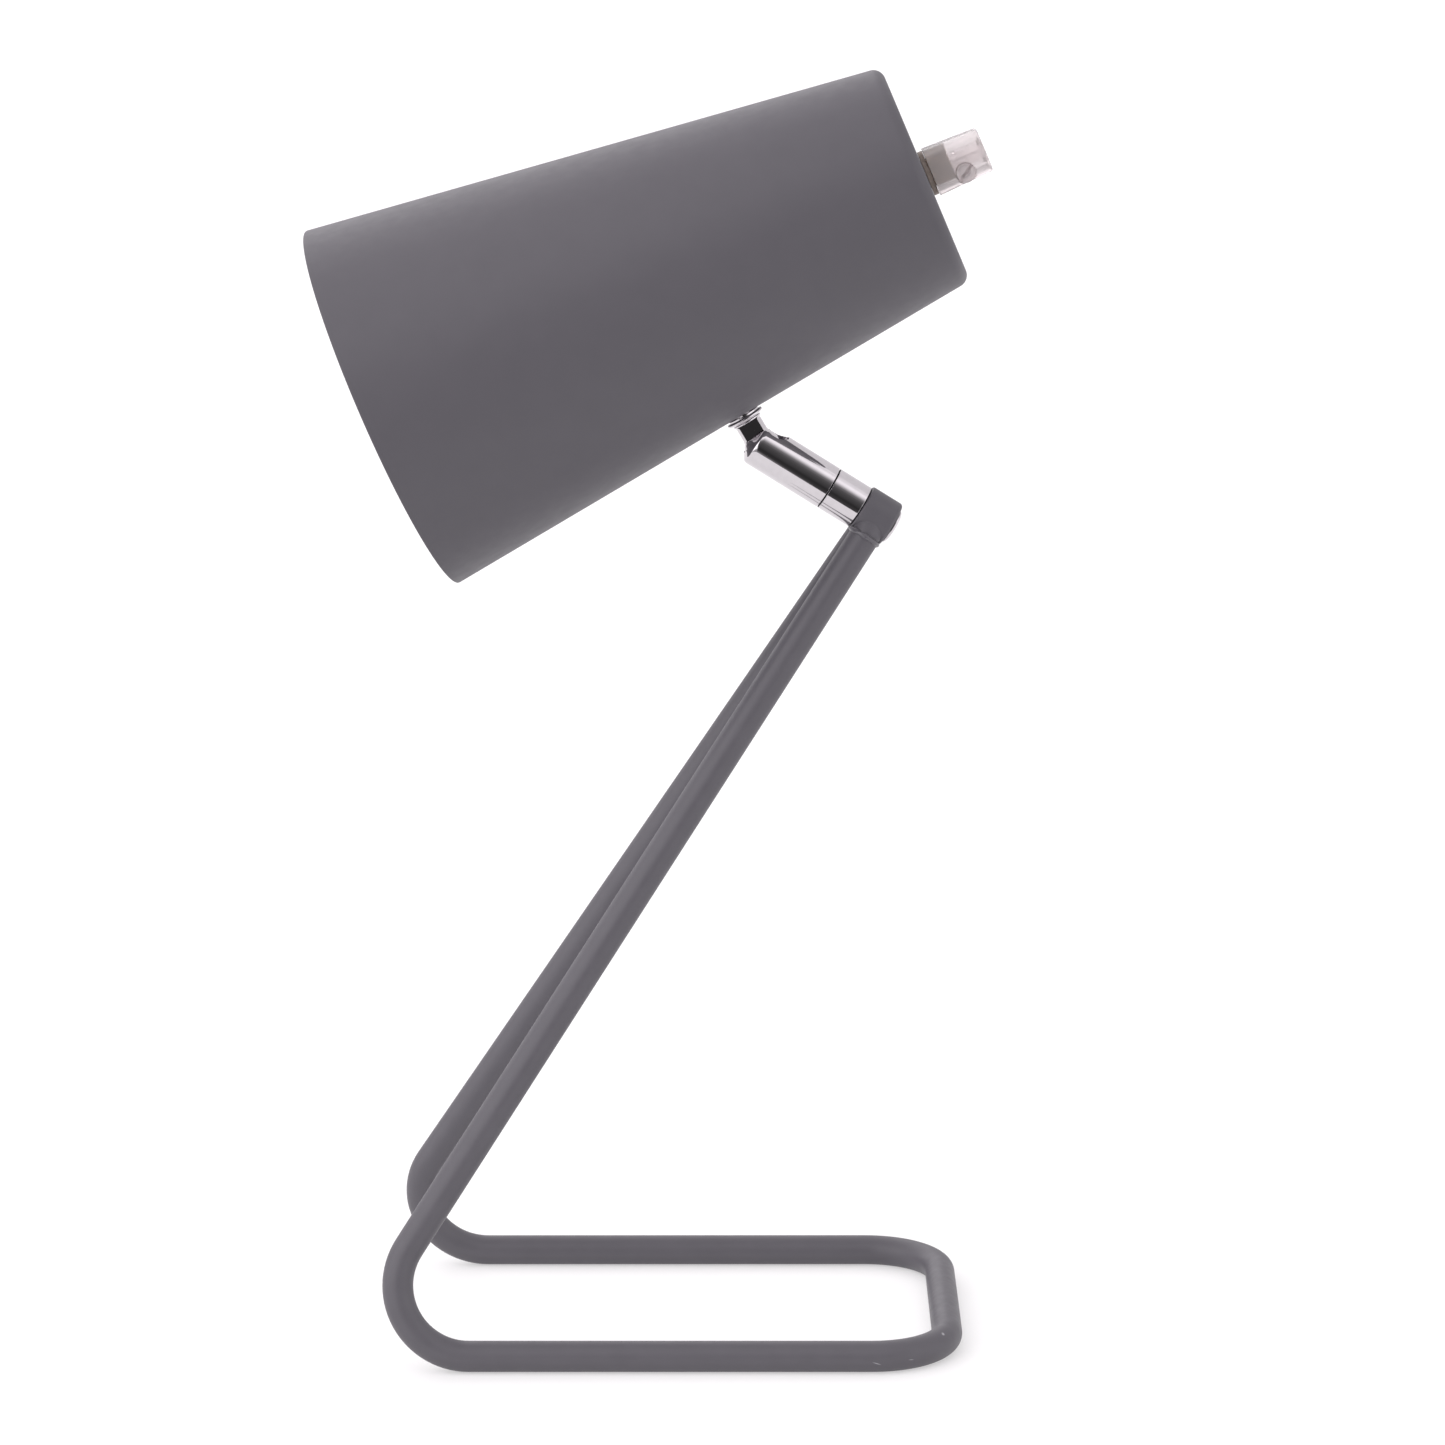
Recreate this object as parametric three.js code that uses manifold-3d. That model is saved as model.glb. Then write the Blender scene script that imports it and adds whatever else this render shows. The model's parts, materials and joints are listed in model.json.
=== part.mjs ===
// Desk lamp: a conical shade on a ball-and-swivel knuckle, carried by a stand bent from one round rod.
// Millimetres, +Z up. The lamp is symmetrical about the plane y = 0, and the shade's mouth faces -X.
// The origin is on the table, under the middle of the lamp's overall box.

import * as THREE from 'three';
import { mergeVertices } from 'three/addons/utils/BufferGeometryUtils.js';
import Module from 'manifold-3d';

const wasm = await Module();
wasm.setup();

// ---------------------------------------------------------------- driving dimensions

const GAP = 0.3; // between pieces that touch
const FINE_SIDES = 48; // sides of the shade
const SIDES = 24; // sides of every other turned piece

// Stand. Each leg's line meets its base bar at LEG_FOOT_X, and the bend between them is rounded.
const ROD_R = 5;
const ROD_SIDES = 12;
const LEG_FOOT_X = -100.55;
const CROSS_BAR_X = 96.45;
const BASE_HALF_WIDTH = 56.8;
const BASE_CORNER_R = 25;
const LEG_BEND_R = 22.8;
const LEG_RISE = 56.78; // degrees, seen from the side
const LEG_LENGTH = 309.8; // seen from the side
const LEG_TOP_Y = 5.35;

// Collar and knuckle, on one axis that leans back from the legs' top.
const COLLAR_FROM_FOOT = 316.6; // along the leg, seen from the side
const KNUCKLE_RISE = 147.97; // degrees, direction from the collar to the ball
const COLLAR_R = 7.95;
const COLLAR_LENGTH = 11.4;
const SCREW_R = 3;
const SCREW_HEAD_R = 5.7;
const SCREW_HEAD_HEIGHT = 1.3;
const HEX_SOCKET = 4; // across flats
const KNUCKLE_R = 7.25;
const SEAM = 17.87; // from the collar's middle
const SCREW_END = 13.2;
const PIVOT_R = 2;
const BARREL_FLOOR = 2;
const BALL_FROM_COLLAR = 42.96;
const NOSE_PAST_BALL = 4.45;
const MOUTH_R = 4.8;
const SLOT_HALF_WIDTH = 4.8;
const SLOT_PAST_BALL = 6.3;

// Ball stud.
const BALL_R = 5.9;
const SOCKET_R = 6.3;
const NECK_R = 4.4;
const NECK_END = 10.2;
const NECK_FLATS = 5.9; // across the two spanner flats
const STUD_R = 3.9;
const STUD_END = 22.5;
const STANDOFF = 12.5; // from the ball's centre to the shade

// Shade. Its axis runs from the closed small end to the mouth.
const REST_TILT = 27.37; // degrees that the neck leans off the barrel's axis at rest
const SHADE_LENGTH = 189.5;
const SHADE_SMALL_R = 36.68;
const SHADE_MOUTH_R = 61.55;
const SHADE_WALL = 1;
const SHADE_EDGE_R = 4;
const STUD_FROM_SMALL_END = 83.85;

// Cord grip and nipple.
const GRIP_LENGTH = 18.5;
const GRIP_INNER_WIDTH = 15.4;
const GRIP_OUTER_WIDTH = 14.1;
const GRIP_EDGE_R = 3.2;
const CORD_HOLE_R = 3.6;
const CLAMP_SCREW_Z = -11.9;
const CLAMP_SCREW_X = -4.1;
const CLAMP_HEAD_R = 3.2;
const CLAMP_SHANK_R = 1.6;
const NIPPLE_R = 4.9;
const NIPPLE_BORE_R = 3.6;
const NIPPLE_OUTER_END = -8.6;
const NIPPLE_INNER_END = 9.6;

// Lampholder and bulb, as distances from the shade's small end.
const HOLDER_R = 19.5;
const HOLDER_START = 5.1;
const HOLDER_JOIN = 28;
const HOLDER_END = 55;
const BLOCK_START = 20;
const BULB_TIP = 32;
const BULB_R = 30;
const BULB_LENGTH = 108;
const BULB_CAP_R = 13.2;
const BULB_CAP_END = 58;
const DIFFUSER_START = 96;

// ---------------------------------------------------------------- materials

const finish = (color, roughness, metalness, opacity = 1) =>
  new THREE.MeshStandardMaterial({ color, roughness, metalness, opacity, transparent: opacity < 1 });

const POWDER_COAT = finish(0x5f5c62, 0.55, 0);
const CHROME = finish(0xd4d0d4, 0.08, 1);
const STEEL = finish(0xa9a9a6, 0.35, 1);
const BRASS = finish(0xb8954f, 0.3, 1);
const CLEAR_NYLON = finish(0xe6dadb, 0.35, 0, 0.7);
const WHITE_PLASTIC = finish(0xf0efea, 0.4, 0);
const BLACK_PLASTIC = finish(0x1c1c1e, 0.5, 0);
const CERAMIC = finish(0xe8e4da, 0.5, 0);
const ALUMINIUM = finish(0xc4c6c8, 0.35, 1);
const BLACK_GLASS = finish(0x111114, 0.15, 0);

// ---------------------------------------------------------------- helpers

const radians = THREE.MathUtils.degToRad;

// A closed solid from a three.js geometry, with its faces turned outwards.
function solidOf(geometry) {
  const bare = new THREE.BufferGeometry();
  bare.setAttribute('position', geometry.getAttribute('position'));
  bare.setIndex(geometry.getIndex());
  const merged = mergeVertices(bare);
  const vertProperties = new Float32Array(merged.getAttribute('position').array);
  const corners = Array.from(merged.getIndex().array);
  const point = (i) => new THREE.Vector3().fromArray(vertProperties, 3 * i);
  const triangles = [];
  let sixVolumes = 0;
  for (let i = 0; i < corners.length; i += 3) {
    const [a, b, c] = corners.slice(i, i + 3);
    if (a === b || b === c || c === a) continue;
    triangles.push([a, b, c]);
    sixVolumes += point(a).dot(point(b).cross(point(c)));
  }
  if (sixVolumes < 0) triangles.forEach((triangle) => triangle.reverse());
  const triVerts = new Uint32Array(triangles.flat());
  return new wasm.Manifold(new wasm.Mesh({ numProp: 3, vertProperties, triVerts }));
}

// The points of an arc in the plane of a profile, in degrees.
function arc(centreR, centreZ, radius, from, to, steps) {
  return Array.from({ length: steps + 1 }, (_, i) => {
    const angle = radians(from + ((to - from) * i) / steps);
    return [centreR + radius * Math.cos(angle), centreZ + radius * Math.sin(angle)];
  });
}

// A piece turned about +Z from a profile of [radius, z] points. The profile starts and ends on the
// axis, or else it closes on itself and the piece is a ring.
function turned(profile, sides = SIDES) {
  const points = profile.map(([r, z]) => new THREE.Vector2(r, z));
  if (profile[0][0] > 0) points.push(points[0].clone());
  return solidOf(new THREE.LatheGeometry(points, sides).rotateX(Math.PI / 2));
}

const rod = (radius, from, to, sides = SIDES) =>
  turned([[0, from], [radius, from], [radius, to], [0, to]], sides);

const ring = (inner, outer, from, to, sides = SIDES) =>
  turned([[inner, from], [outer, from], [outer, to], [inner, to]], sides);

const hexagon = (acrossFlats, from, to) => rod(acrossFlats / Math.sqrt(3), from, to, 6);

// The same solid, moved from one group's axes to another's.
function carried(solid, fromFrame, toFrame) {
  const matrix = toFrame.matrixWorld.clone().invert().multiply(fromFrame.matrixWorld);
  return solid.transform(matrix.toArray());
}

// A solid turned so that what ran along +Z runs along -Y.
const facingMinusY = (solid) => solid.rotate([90, 0, 0]);

// ---------------------------------------------------------------- frames

const lamp = new THREE.Group();

// A group on the plane y = 0, whose +Z points in the direction `rise`, in degrees from +X towards +Z.
function frameAt(x, z, rise) {
  const frame = new THREE.Group();
  frame.position.set(x, 0, z);
  frame.rotation.y = radians(90 - rise);
  lamp.add(frame);
  frame.updateMatrixWorld();
  return frame;
}

const step = (from, rise, distance) => [
  from[0] + distance * Math.cos(radians(rise)),
  from[1] + distance * Math.sin(radians(rise)),
];

const coneAngle = THREE.MathUtils.radToDeg(Math.atan((SHADE_MOUTH_R - SHADE_SMALL_R) / SHADE_LENGTH));
const neckRise = KNUCKLE_RISE - REST_TILT;
const shadeRise = neckRise - 90 - coneAngle; // direction from the mouth to the small end
const radiusAtStud = SHADE_SMALL_R + STUD_FROM_SMALL_END * Math.tan(radians(coneAngle));

const collarCentre = step([LEG_FOOT_X, ROD_R], LEG_RISE, COLLAR_FROM_FOOT);
const ballCentre = step(collarCentre, KNUCKLE_RISE, BALL_FROM_COLLAR);
const studHole = step(ballCentre, neckRise, STANDOFF);
const axisAtStud = step(studHole, shadeRise + 90, radiusAtStud);
const smallEnd = step(axisAtStud, shadeRise, STUD_FROM_SMALL_END);

const standFrame = frameAt(0, 0, 90);
const knuckleFrame = frameAt(...collarCentre, KNUCKLE_RISE);
const ballFrame = frameAt(...ballCentre, neckRise);
const shadeFrame = frameAt(...smallEnd, shadeRise + 180);

function add(frame, name, solid, material) {
  const { vertProperties, triVerts } = solid.getMesh();
  const geometry = new THREE.BufferGeometry();
  geometry.setAttribute('position', new THREE.BufferAttribute(vertProperties, 3));
  geometry.setIndex(new THREE.BufferAttribute(triVerts, 1));
  geometry.computeVertexNormals();
  const mesh = new THREE.Mesh(geometry, material);
  mesh.name = name;
  frame.add(mesh);
}

// ---------------------------------------------------------------- stand

// A path through fixed stations. Its section is carried both ways from the middle station, where the
// section's first axis is +Z, so one flat side faces down all round the base and nothing twists.
class BentRod extends THREE.Curve {
  constructor(stations) {
    super();
    this.stations = stations;
  }

  getSpacedPoints() {
    return this.stations;
  }

  computeFrenetFrames() {
    const last = this.stations.length - 1;
    const heading = (i) => this.stations[i + 1].clone().sub(this.stations[i]).normalize();
    const tangents = this.stations.map((_, i) => {
      const arriving = heading(Math.max(i - 1, 0));
      return arriving.add(heading(Math.min(i, last - 1))).normalize();
    });
    const middle = last / 2;
    const normals = [];
    normals[middle] = new THREE.Vector3(0, 0, 1);
    for (const way of [1, -1]) {
      for (let i = middle; i !== middle + way * middle; i += way) {
        const turn = new THREE.Quaternion().setFromUnitVectors(tangents[i], tangents[i + way]);
        normals[i + way] = normals[i].clone().applyQuaternion(turn);
      }
    }
    const binormals = tangents.map((tangent, i) => tangent.clone().cross(normals[i]));
    return { tangents, normals, binormals };
  }
}

// The stations of a rounded corner between two straight runs.
function roundedCorner(before, corner, after, radius, steps) {
  const toBefore = before.clone().sub(corner).normalize();
  const toAfter = after.clone().sub(corner).normalize();
  const halfAngle = toBefore.angleTo(toAfter) / 2;
  const bisector = toBefore.clone().add(toAfter).normalize();
  const centre = corner.clone().addScaledVector(bisector, radius / Math.sin(halfAngle));
  const spoke = corner.clone().addScaledVector(toBefore, radius / Math.tan(halfAngle)).sub(centre);
  const axis = toAfter.clone().cross(toBefore).normalize();
  return Array.from({ length: steps + 1 }, (_, i) => {
    const angle = ((Math.PI - 2 * halfAngle) * i) / steps;
    return spoke.clone().applyAxisAngle(axis, angle).add(centre);
  });
}

function frameRod() {
  const [legTopX, legTopZ] = step([LEG_FOOT_X, ROD_R], LEG_RISE, LEG_LENGTH);
  const corners = [1, -1].map((side) => [
    new THREE.Vector3(legTopX, side * LEG_TOP_Y, legTopZ),
    new THREE.Vector3(LEG_FOOT_X, side * BASE_HALF_WIDTH, ROD_R),
    new THREE.Vector3(CROSS_BAR_X, side * BASE_HALF_WIDTH, ROD_R),
    new THREE.Vector3(CROSS_BAR_X, 0, ROD_R),
  ]);
  const [oneSide, otherSide] = corners.map(([legTop, foot, baseCorner, crossBarMiddle]) => [
    legTop,
    ...roundedCorner(legTop, foot, baseCorner, LEG_BEND_R, 10),
    ...roundedCorner(foot, baseCorner, crossBarMiddle, BASE_CORNER_R, 6),
  ]);
  const middle = corners[0][3];
  const path = new BentRod([...oneSide, middle, ...otherSide.reverse()]);
  const halfSide = Math.PI / ROD_SIDES;
  const cornerR = ROD_R / Math.cos(halfSide);
  const section = new THREE.Shape(
    Array.from({ length: ROD_SIDES }, (_, i) => {
      const angle = halfSide * (2 * i + 1);
      return new THREE.Vector2(cornerR * Math.cos(angle), cornerR * Math.sin(angle));
    }),
  );
  const steps = path.stations.length - 1;
  const bent = new THREE.ExtrudeGeometry(section, { steps, extrudePath: path, bevelEnabled: false });
  const cope = carried(rod(COLLAR_R + GAP, -20, 20), knuckleFrame, standFrame);
  return solidOf(bent).subtract(cope);
}

function collar() {
  const end = COLLAR_LENGTH / 2;
  const chamfer = 0.5;
  return turned([
    [SCREW_R + GAP, -end],
    [COLLAR_R - chamfer, -end],
    [COLLAR_R, -end + chamfer],
    [COLLAR_R, end - chamfer],
    [COLLAR_R - chamfer, end],
    [SCREW_R + GAP, end],
  ]);
}

// A button-head screw: its head is outside the collar and its tip is in the knuckle's base.
function swivelScrew() {
  const seat = -COLLAR_LENGTH / 2 - GAP;
  const top = seat - SCREW_HEAD_HEIGHT;
  const tipChamfer = 0.5;
  const socketDepth = 1.7;
  const head = [
    [0, top],
    [0.55 * SCREW_HEAD_R, top],
    [0.85 * SCREW_HEAD_R, top + 0.3 * SCREW_HEAD_HEIGHT],
    [SCREW_HEAD_R, top + 0.75 * SCREW_HEAD_HEIGHT],
    [SCREW_HEAD_R, seat],
  ];
  const shank = [
    [SCREW_R, seat],
    [SCREW_R, SCREW_END - tipChamfer],
    [SCREW_R - tipChamfer, SCREW_END],
    [0, SCREW_END],
  ];
  return turned([...head, ...shank]).subtract(hexagon(HEX_SOCKET, top - 1, top + socketDepth));
}

const PIVOT_TAIL = SCREW_END + GAP;
const PIVOT_TAIL_HEIGHT = 1.1;
const PIVOT_HEAD = SEAM + BARREL_FLOOR + 1;
const PIVOT_HEAD_R = 4;
const PIVOT_HEAD_HEIGHT = 1.3;

function knuckleBase() {
  const start = COLLAR_LENGTH / 2 + GAP;
  const end = SEAM - GAP / 2;
  const shoulder = PIVOT_TAIL + PIVOT_TAIL_HEIGHT + GAP;
  const edge = 0.3;
  return turned([
    [SCREW_R + GAP, start],
    [KNUCKLE_R - edge, start],
    [KNUCKLE_R, start + edge],
    [KNUCKLE_R, end - edge],
    [KNUCKLE_R - edge, end],
    [PIVOT_R + GAP, end],
    [PIVOT_R + GAP, shoulder],
    [SCREW_R + GAP, shoulder],
  ]);
}

// The pin that ties the barrel to the base: a tail in the base, and a head inside the barrel.
function swivelPivot() {
  const top = PIVOT_HEAD + PIVOT_HEAD_HEIGHT;
  const chamfer = 0.5;
  return turned([
    [0, PIVOT_TAIL],
    [SCREW_R, PIVOT_TAIL],
    [SCREW_R, PIVOT_TAIL + PIVOT_TAIL_HEIGHT],
    [PIVOT_R, PIVOT_TAIL + PIVOT_TAIL_HEIGHT],
    [PIVOT_R, PIVOT_HEAD],
    [PIVOT_HEAD_R, PIVOT_HEAD],
    [PIVOT_HEAD_R, top - chamfer],
    [PIVOT_HEAD_R - chamfer, top],
    [0, top],
  ]);
}

// A slightly conical spring washer between the barrel's floor and the pivot's head.
function swivelSpringWasher() {
  const inner = PIVOT_R + GAP;
  const outer = 5.4;
  const thick = 0.3;
  const rise = 0.2;
  const low = SEAM + GAP + BARREL_FLOOR;
  return turned([[inner, low + rise], [outer, low], [outer, low + thick], [inner, low + rise + thick]]);
}

add(standFrame, 'frame_rod', frameRod(), POWDER_COAT);
add(knuckleFrame, 'collar', collar(), POWDER_COAT);
add(knuckleFrame, 'swivel_screw', swivelScrew(), CHROME);
add(knuckleFrame, 'knuckle_base', knuckleBase(), CHROME);
add(knuckleFrame, 'swivel_pivot', swivelPivot(), STEEL);
add(knuckleFrame, 'swivel_spring_washer', swivelSpringWasher(), STEEL);

// ---------------------------------------------------------------- knuckle

const SEAT_TOP = BALL_FROM_COLLAR - 4.75;
const SEAT_BOTTOM = SEAT_TOP - 3;

// The barrel is open at its nose and along a slot on its +X side, so the neck can lean right over.
function knuckleBarrel() {
  const start = SEAM + GAP / 2;
  const floor = start + BARREL_FLOOR;
  const edge = 0.3;
  const mouthAngle = THREE.MathUtils.radToDeg(Math.acos(MOUTH_R / SOCKET_R));
  const nose = [[7.22, 1.7], [7, 2.6], [6.5, 3.35], [5.8, 3.9], [5, 4.4], [MOUTH_R, NOSE_PAST_BALL]];
  const barrel = turned([
    [PIVOT_R + GAP, start],
    [KNUCKLE_R - edge, start],
    [KNUCKLE_R, start + edge],
    [KNUCKLE_R, BALL_FROM_COLLAR],
    ...nose.map(([r, z]) => [r, BALL_FROM_COLLAR + z]),
    ...arc(0, BALL_FROM_COLLAR, SOCKET_R, mouthAngle, 0, 5),
    [SOCKET_R, floor],
    [PIVOT_R + GAP, floor],
  ]);
  const slotEnd = BALL_FROM_COLLAR - SLOT_PAST_BALL + SLOT_HALF_WIDTH;
  const slotRound = rod(SLOT_HALF_WIDTH, 0, 2 * KNUCKLE_R).rotate([0, 90, 0]).translate([0, 0, slotEnd]);
  const slotLength = 2 * SLOT_PAST_BALL;
  const slotBox = new THREE.BoxGeometry(2 * KNUCKLE_R, 2 * SLOT_HALF_WIDTH, slotLength);
  slotBox.translate(KNUCKLE_R, 0, slotEnd + slotLength / 2);
  return barrel.subtract(solidOf(slotBox)).subtract(slotRound);
}

function ballSeat() {
  const dishR = BALL_R + 0.25;
  const dishDrop = BALL_FROM_COLLAR - SEAT_TOP;
  const rim = THREE.MathUtils.radToDeg(Math.asin(dishDrop / dishR));
  const bossR = 3.6;
  const bossHeight = 1;
  return turned([
    [0, SEAT_BOTTOM],
    [bossR, SEAT_BOTTOM],
    [bossR, SEAT_BOTTOM + bossHeight],
    [SOCKET_R - GAP, SEAT_BOTTOM + bossHeight],
    [SOCKET_R - GAP, SEAT_TOP],
    ...arc(0, BALL_FROM_COLLAR, dishR, -rim, -89.9, 4).slice(0, -1),
    [0, BALL_FROM_COLLAR - dishR],
  ]);
}

class Coil extends THREE.Curve {
  constructor(radius, from, to, turns) {
    super();
    Object.assign(this, { radius, from, to, turns });
  }

  getPoint(t, target = new THREE.Vector3()) {
    const angle = 2 * Math.PI * this.turns * t;
    const z = this.from + (this.to - this.from) * t;
    return target.set(this.radius * Math.cos(angle), this.radius * Math.sin(angle), z);
  }
}

function seatSpring() {
  const wireR = 0.55;
  const coilR = 4.9;
  const turns = 4;
  const from = PIVOT_HEAD + PIVOT_HEAD_HEIGHT + GAP + wireR;
  const to = SEAT_BOTTOM - GAP - wireR;
  const wire = new THREE.Shape().absarc(0, 0, wireR, 0, 2 * Math.PI);
  const coil = new Coil(coilR, from, to, turns);
  const options = { steps: 14 * turns, curveSegments: 3, extrudePath: coil, bevelEnabled: false };
  return solidOf(new THREE.ExtrudeGeometry(wire, options));
}

add(knuckleFrame, 'knuckle_barrel', knuckleBarrel(), CHROME);
add(knuckleFrame, 'ball_seat', ballSeat(), BLACK_PLASTIC);
add(knuckleFrame, 'seat_spring', seatSpring(), STEEL);

// ---------------------------------------------------------------- ball

const SADDLE_START = NECK_END + GAP;
const SADDLE_END = STANDOFF - GAP;

function ballStud() {
  const neckMeetsBall = THREE.MathUtils.radToDeg(Math.acos(NECK_R / BALL_R));
  const lipR = 4.9;
  const tipChamfer = 0.6;
  const stud = turned([
    [0, -BALL_R],
    ...arc(0, 0, BALL_R, -75, neckMeetsBall, 8),
    [NECK_R, NECK_END - 1],
    [lipR, NECK_END - 0.4],
    [lipR, NECK_END],
    [STUD_R, NECK_END],
    [STUD_R, STUD_END - tipChamfer],
    [STUD_R - tipChamfer, STUD_END],
    [0, STUD_END],
  ]);
  const [flatStart, flatEnd] = [4.3, NECK_END - 0.45];
  const depth = 4;
  const flat = new THREE.BoxGeometry(4 * NECK_R, depth, flatEnd - flatStart);
  flat.translate(0, (NECK_FLATS + depth) / 2, (flatStart + flatEnd) / 2);
  return stud.subtract(solidOf(flat)).subtract(solidOf(flat).rotate([0, 0, 180]));
}

add(ballFrame, 'ball_stud', ballStud(), CHROME);

// ---------------------------------------------------------------- shade and its fixings

const INNER_WASHER_R = 7.5;
const INNER_WASHER_START = 14.4;
const INNER_WASHER_END = 15.6;
const SHADE_NUT_START = INNER_WASHER_END + GAP;
const SHADE_NUT_HEIGHT = 5;
const SHADE_NUT_FLATS = 13;
const SHEET_HOLE_GAP = 0.5; // round what passes through the shade's sheet

// A dished washer: its rim stands clear of the shade, so it shows a dark gap above it.
function saddleWasher() {
  const inner = STUD_R + GAP;
  const rimR = 6.35;
  const hubR = 5.3;
  return turned([
    [inner, SADDLE_START],
    [hubR, SADDLE_START],
    [rimR, SADDLE_START + 0.45],
    [rimR, SADDLE_START + 1.05],
    [hubR, SADDLE_START + 1.25],
    [hubR, SADDLE_END],
    [inner, SADDLE_END],
  ]);
}

const innerWasher = () => ring(STUD_R + GAP, INNER_WASHER_R, INNER_WASHER_START, INNER_WASHER_END);

function shadeNut() {
  const end = SHADE_NUT_START + SHADE_NUT_HEIGHT;
  const bore = rod(STUD_R + GAP, SHADE_NUT_START - 1, end + 1);
  return hexagon(SHADE_NUT_FLATS, SHADE_NUT_START, end).subtract(bore);
}

function shadeShell() {
  const slope = Math.tan(radians(coneAngle));
  const edgeCentre = SHADE_SMALL_R - SHADE_EDGE_R * Math.tan(radians(45 - coneAngle / 2));
  const wallAcross = SHADE_WALL / Math.cos(radians(coneAngle));
  const holeR = NIPPLE_R + SHEET_HOLE_GAP;
  const shell = turned([
    [holeR, 0],
    ...arc(edgeCentre, SHADE_EDGE_R, SHADE_EDGE_R, -90, -coneAngle, 6),
    [SHADE_SMALL_R + SHADE_LENGTH * slope, SHADE_LENGTH],
    [SHADE_SMALL_R + SHADE_LENGTH * slope - wallAcross, SHADE_LENGTH],
    ...arc(edgeCentre, SHADE_EDGE_R, SHADE_EDGE_R - SHADE_WALL, -coneAngle, -90, 5),
    [holeR, SHADE_WALL],
  ], FINE_SIDES);
  return shell.subtract(carried(rod(STUD_R + SHEET_HOLE_GAP, 0, 30), ballFrame, shadeFrame));
}

add(ballFrame, 'saddle_washer', saddleWasher(), CHROME);
add(ballFrame, 'inner_washer', innerWasher(), STEEL);
add(ballFrame, 'shade_nut', shadeNut(), STEEL);
add(shadeFrame, 'shade_shell', shadeShell(), POWDER_COAT);

// ---------------------------------------------------------------- cord grip and nipple

const NIPPLE_WASHER_R = 8;
const END_WASHER_OUTER = -1.5;
const LOCK_WASHER_END = 2;
const NIPPLE_NUT_FLATS = 14;
const GRIP_START = END_WASHER_OUTER - GAP;
const GRIP_END = GRIP_START - GRIP_LENGTH;
const CLAMP_HEAD_START = 5.4; // from the grip's axis, towards -Y
const CLAMP_HEAD_END = 7;
const CLAMP_TIP = -3.5;
const CLAMP_SLOT_TURN = -58; // degrees

// A moulded block with rounded edges and a little draft, bored for the nipple and for the cord. The
// clamp screw crosses the cord's hole off-centre and nips the cord.
function cordGrip() {
  const half = GRIP_INNER_WIDTH / 2;
  const flat = half - GRIP_EDGE_R;
  const outline = new THREE.Shape();
  for (const [x, y, from] of [[flat, flat, 0], [-flat, flat, 90], [-flat, -flat, 180], [flat, -flat, 270]]) {
    outline.absarc(x, y, GRIP_EDGE_R, radians(from), radians(from + 90));
  }
  const options = { depth: GRIP_LENGTH, curveSegments: 4, bevelEnabled: false };
  const block = new THREE.ExtrudeGeometry(outline, options);
  const position = block.getAttribute('position');
  for (let i = 0; i < position.count; i += 1) {
    const along = position.getZ(i) / GRIP_LENGTH;
    const scale = THREE.MathUtils.lerp(GRIP_OUTER_WIDTH / GRIP_INNER_WIDTH, 1, along);
    position.setX(i, position.getX(i) * scale);
    position.setY(i, position.getY(i) * scale);
  }
  const nippleBore = rod(NIPPLE_R + GAP, NIPPLE_OUTER_END - GAP, GRIP_START + 1);
  const mouthDepth = 1.8;
  const mouthFlare = 1.1;
  const cordHole = turned([
    [0, GRIP_END - 1],
    [CORD_HOLE_R + mouthFlare, GRIP_END - 1],
    [CORD_HOLE_R + mouthFlare, GRIP_END],
    [CORD_HOLE_R, GRIP_END + mouthDepth],
    [CORD_HOLE_R, GRIP_START],
    [0, GRIP_START],
  ]);
  const screwHole = facingMinusY(
    rod(CLAMP_SHANK_R + GAP, -5, 20, 16).add(rod(CLAMP_HEAD_R + GAP, CLAMP_HEAD_START - GAP, 20)),
  ).translate([CLAMP_SCREW_X, 0, CLAMP_SCREW_Z]);
  return solidOf(block.translate(0, 0, GRIP_END)).subtract(nippleBore).subtract(cordHole).subtract(screwHole);
}

function clampScrew() {
  const shank = rod(CLAMP_SHANK_R, CLAMP_TIP, CLAMP_HEAD_START + 0.5, 16);
  const head = rod(CLAMP_HEAD_R, CLAMP_HEAD_START, CLAMP_HEAD_END, 24);
  const slot = new THREE.BoxGeometry(3 * CLAMP_HEAD_R, 1, 2).rotateZ(radians(CLAMP_SLOT_TURN));
  slot.translate(0, 0, CLAMP_HEAD_END + 0.2);
  const screw = shank.add(head).subtract(solidOf(slot));
  return facingMinusY(screw).translate([CLAMP_SCREW_X, 0, CLAMP_SCREW_Z]);
}

const lockWasher = () => ring(NIPPLE_R + GAP, NIPPLE_WASHER_R, SHADE_WALL + GAP, LOCK_WASHER_END);

function nippleNut() {
  const [start, end] = [LOCK_WASHER_END + GAP, HOLDER_START - GAP];
  return hexagon(NIPPLE_NUT_FLATS, start, end).subtract(rod(NIPPLE_R + GAP, start - 1, end + 1));
}

add(shadeFrame, 'end_washer', ring(NIPPLE_R + GAP, NIPPLE_WASHER_R, END_WASHER_OUTER, -GAP), STEEL);
add(shadeFrame, 'cord_grip', cordGrip(), CLEAR_NYLON);
add(shadeFrame, 'clamp_screw', clampScrew(), CLEAR_NYLON);
add(shadeFrame, 'nipple', ring(NIPPLE_BORE_R, NIPPLE_R, NIPPLE_OUTER_END, NIPPLE_INNER_END), BRASS);
add(shadeFrame, 'nipple_lock_washer', lockWasher(), STEEL);
add(shadeFrame, 'nipple_nut', nippleNut(), BRASS);

// ---------------------------------------------------------------- lampholder

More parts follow.
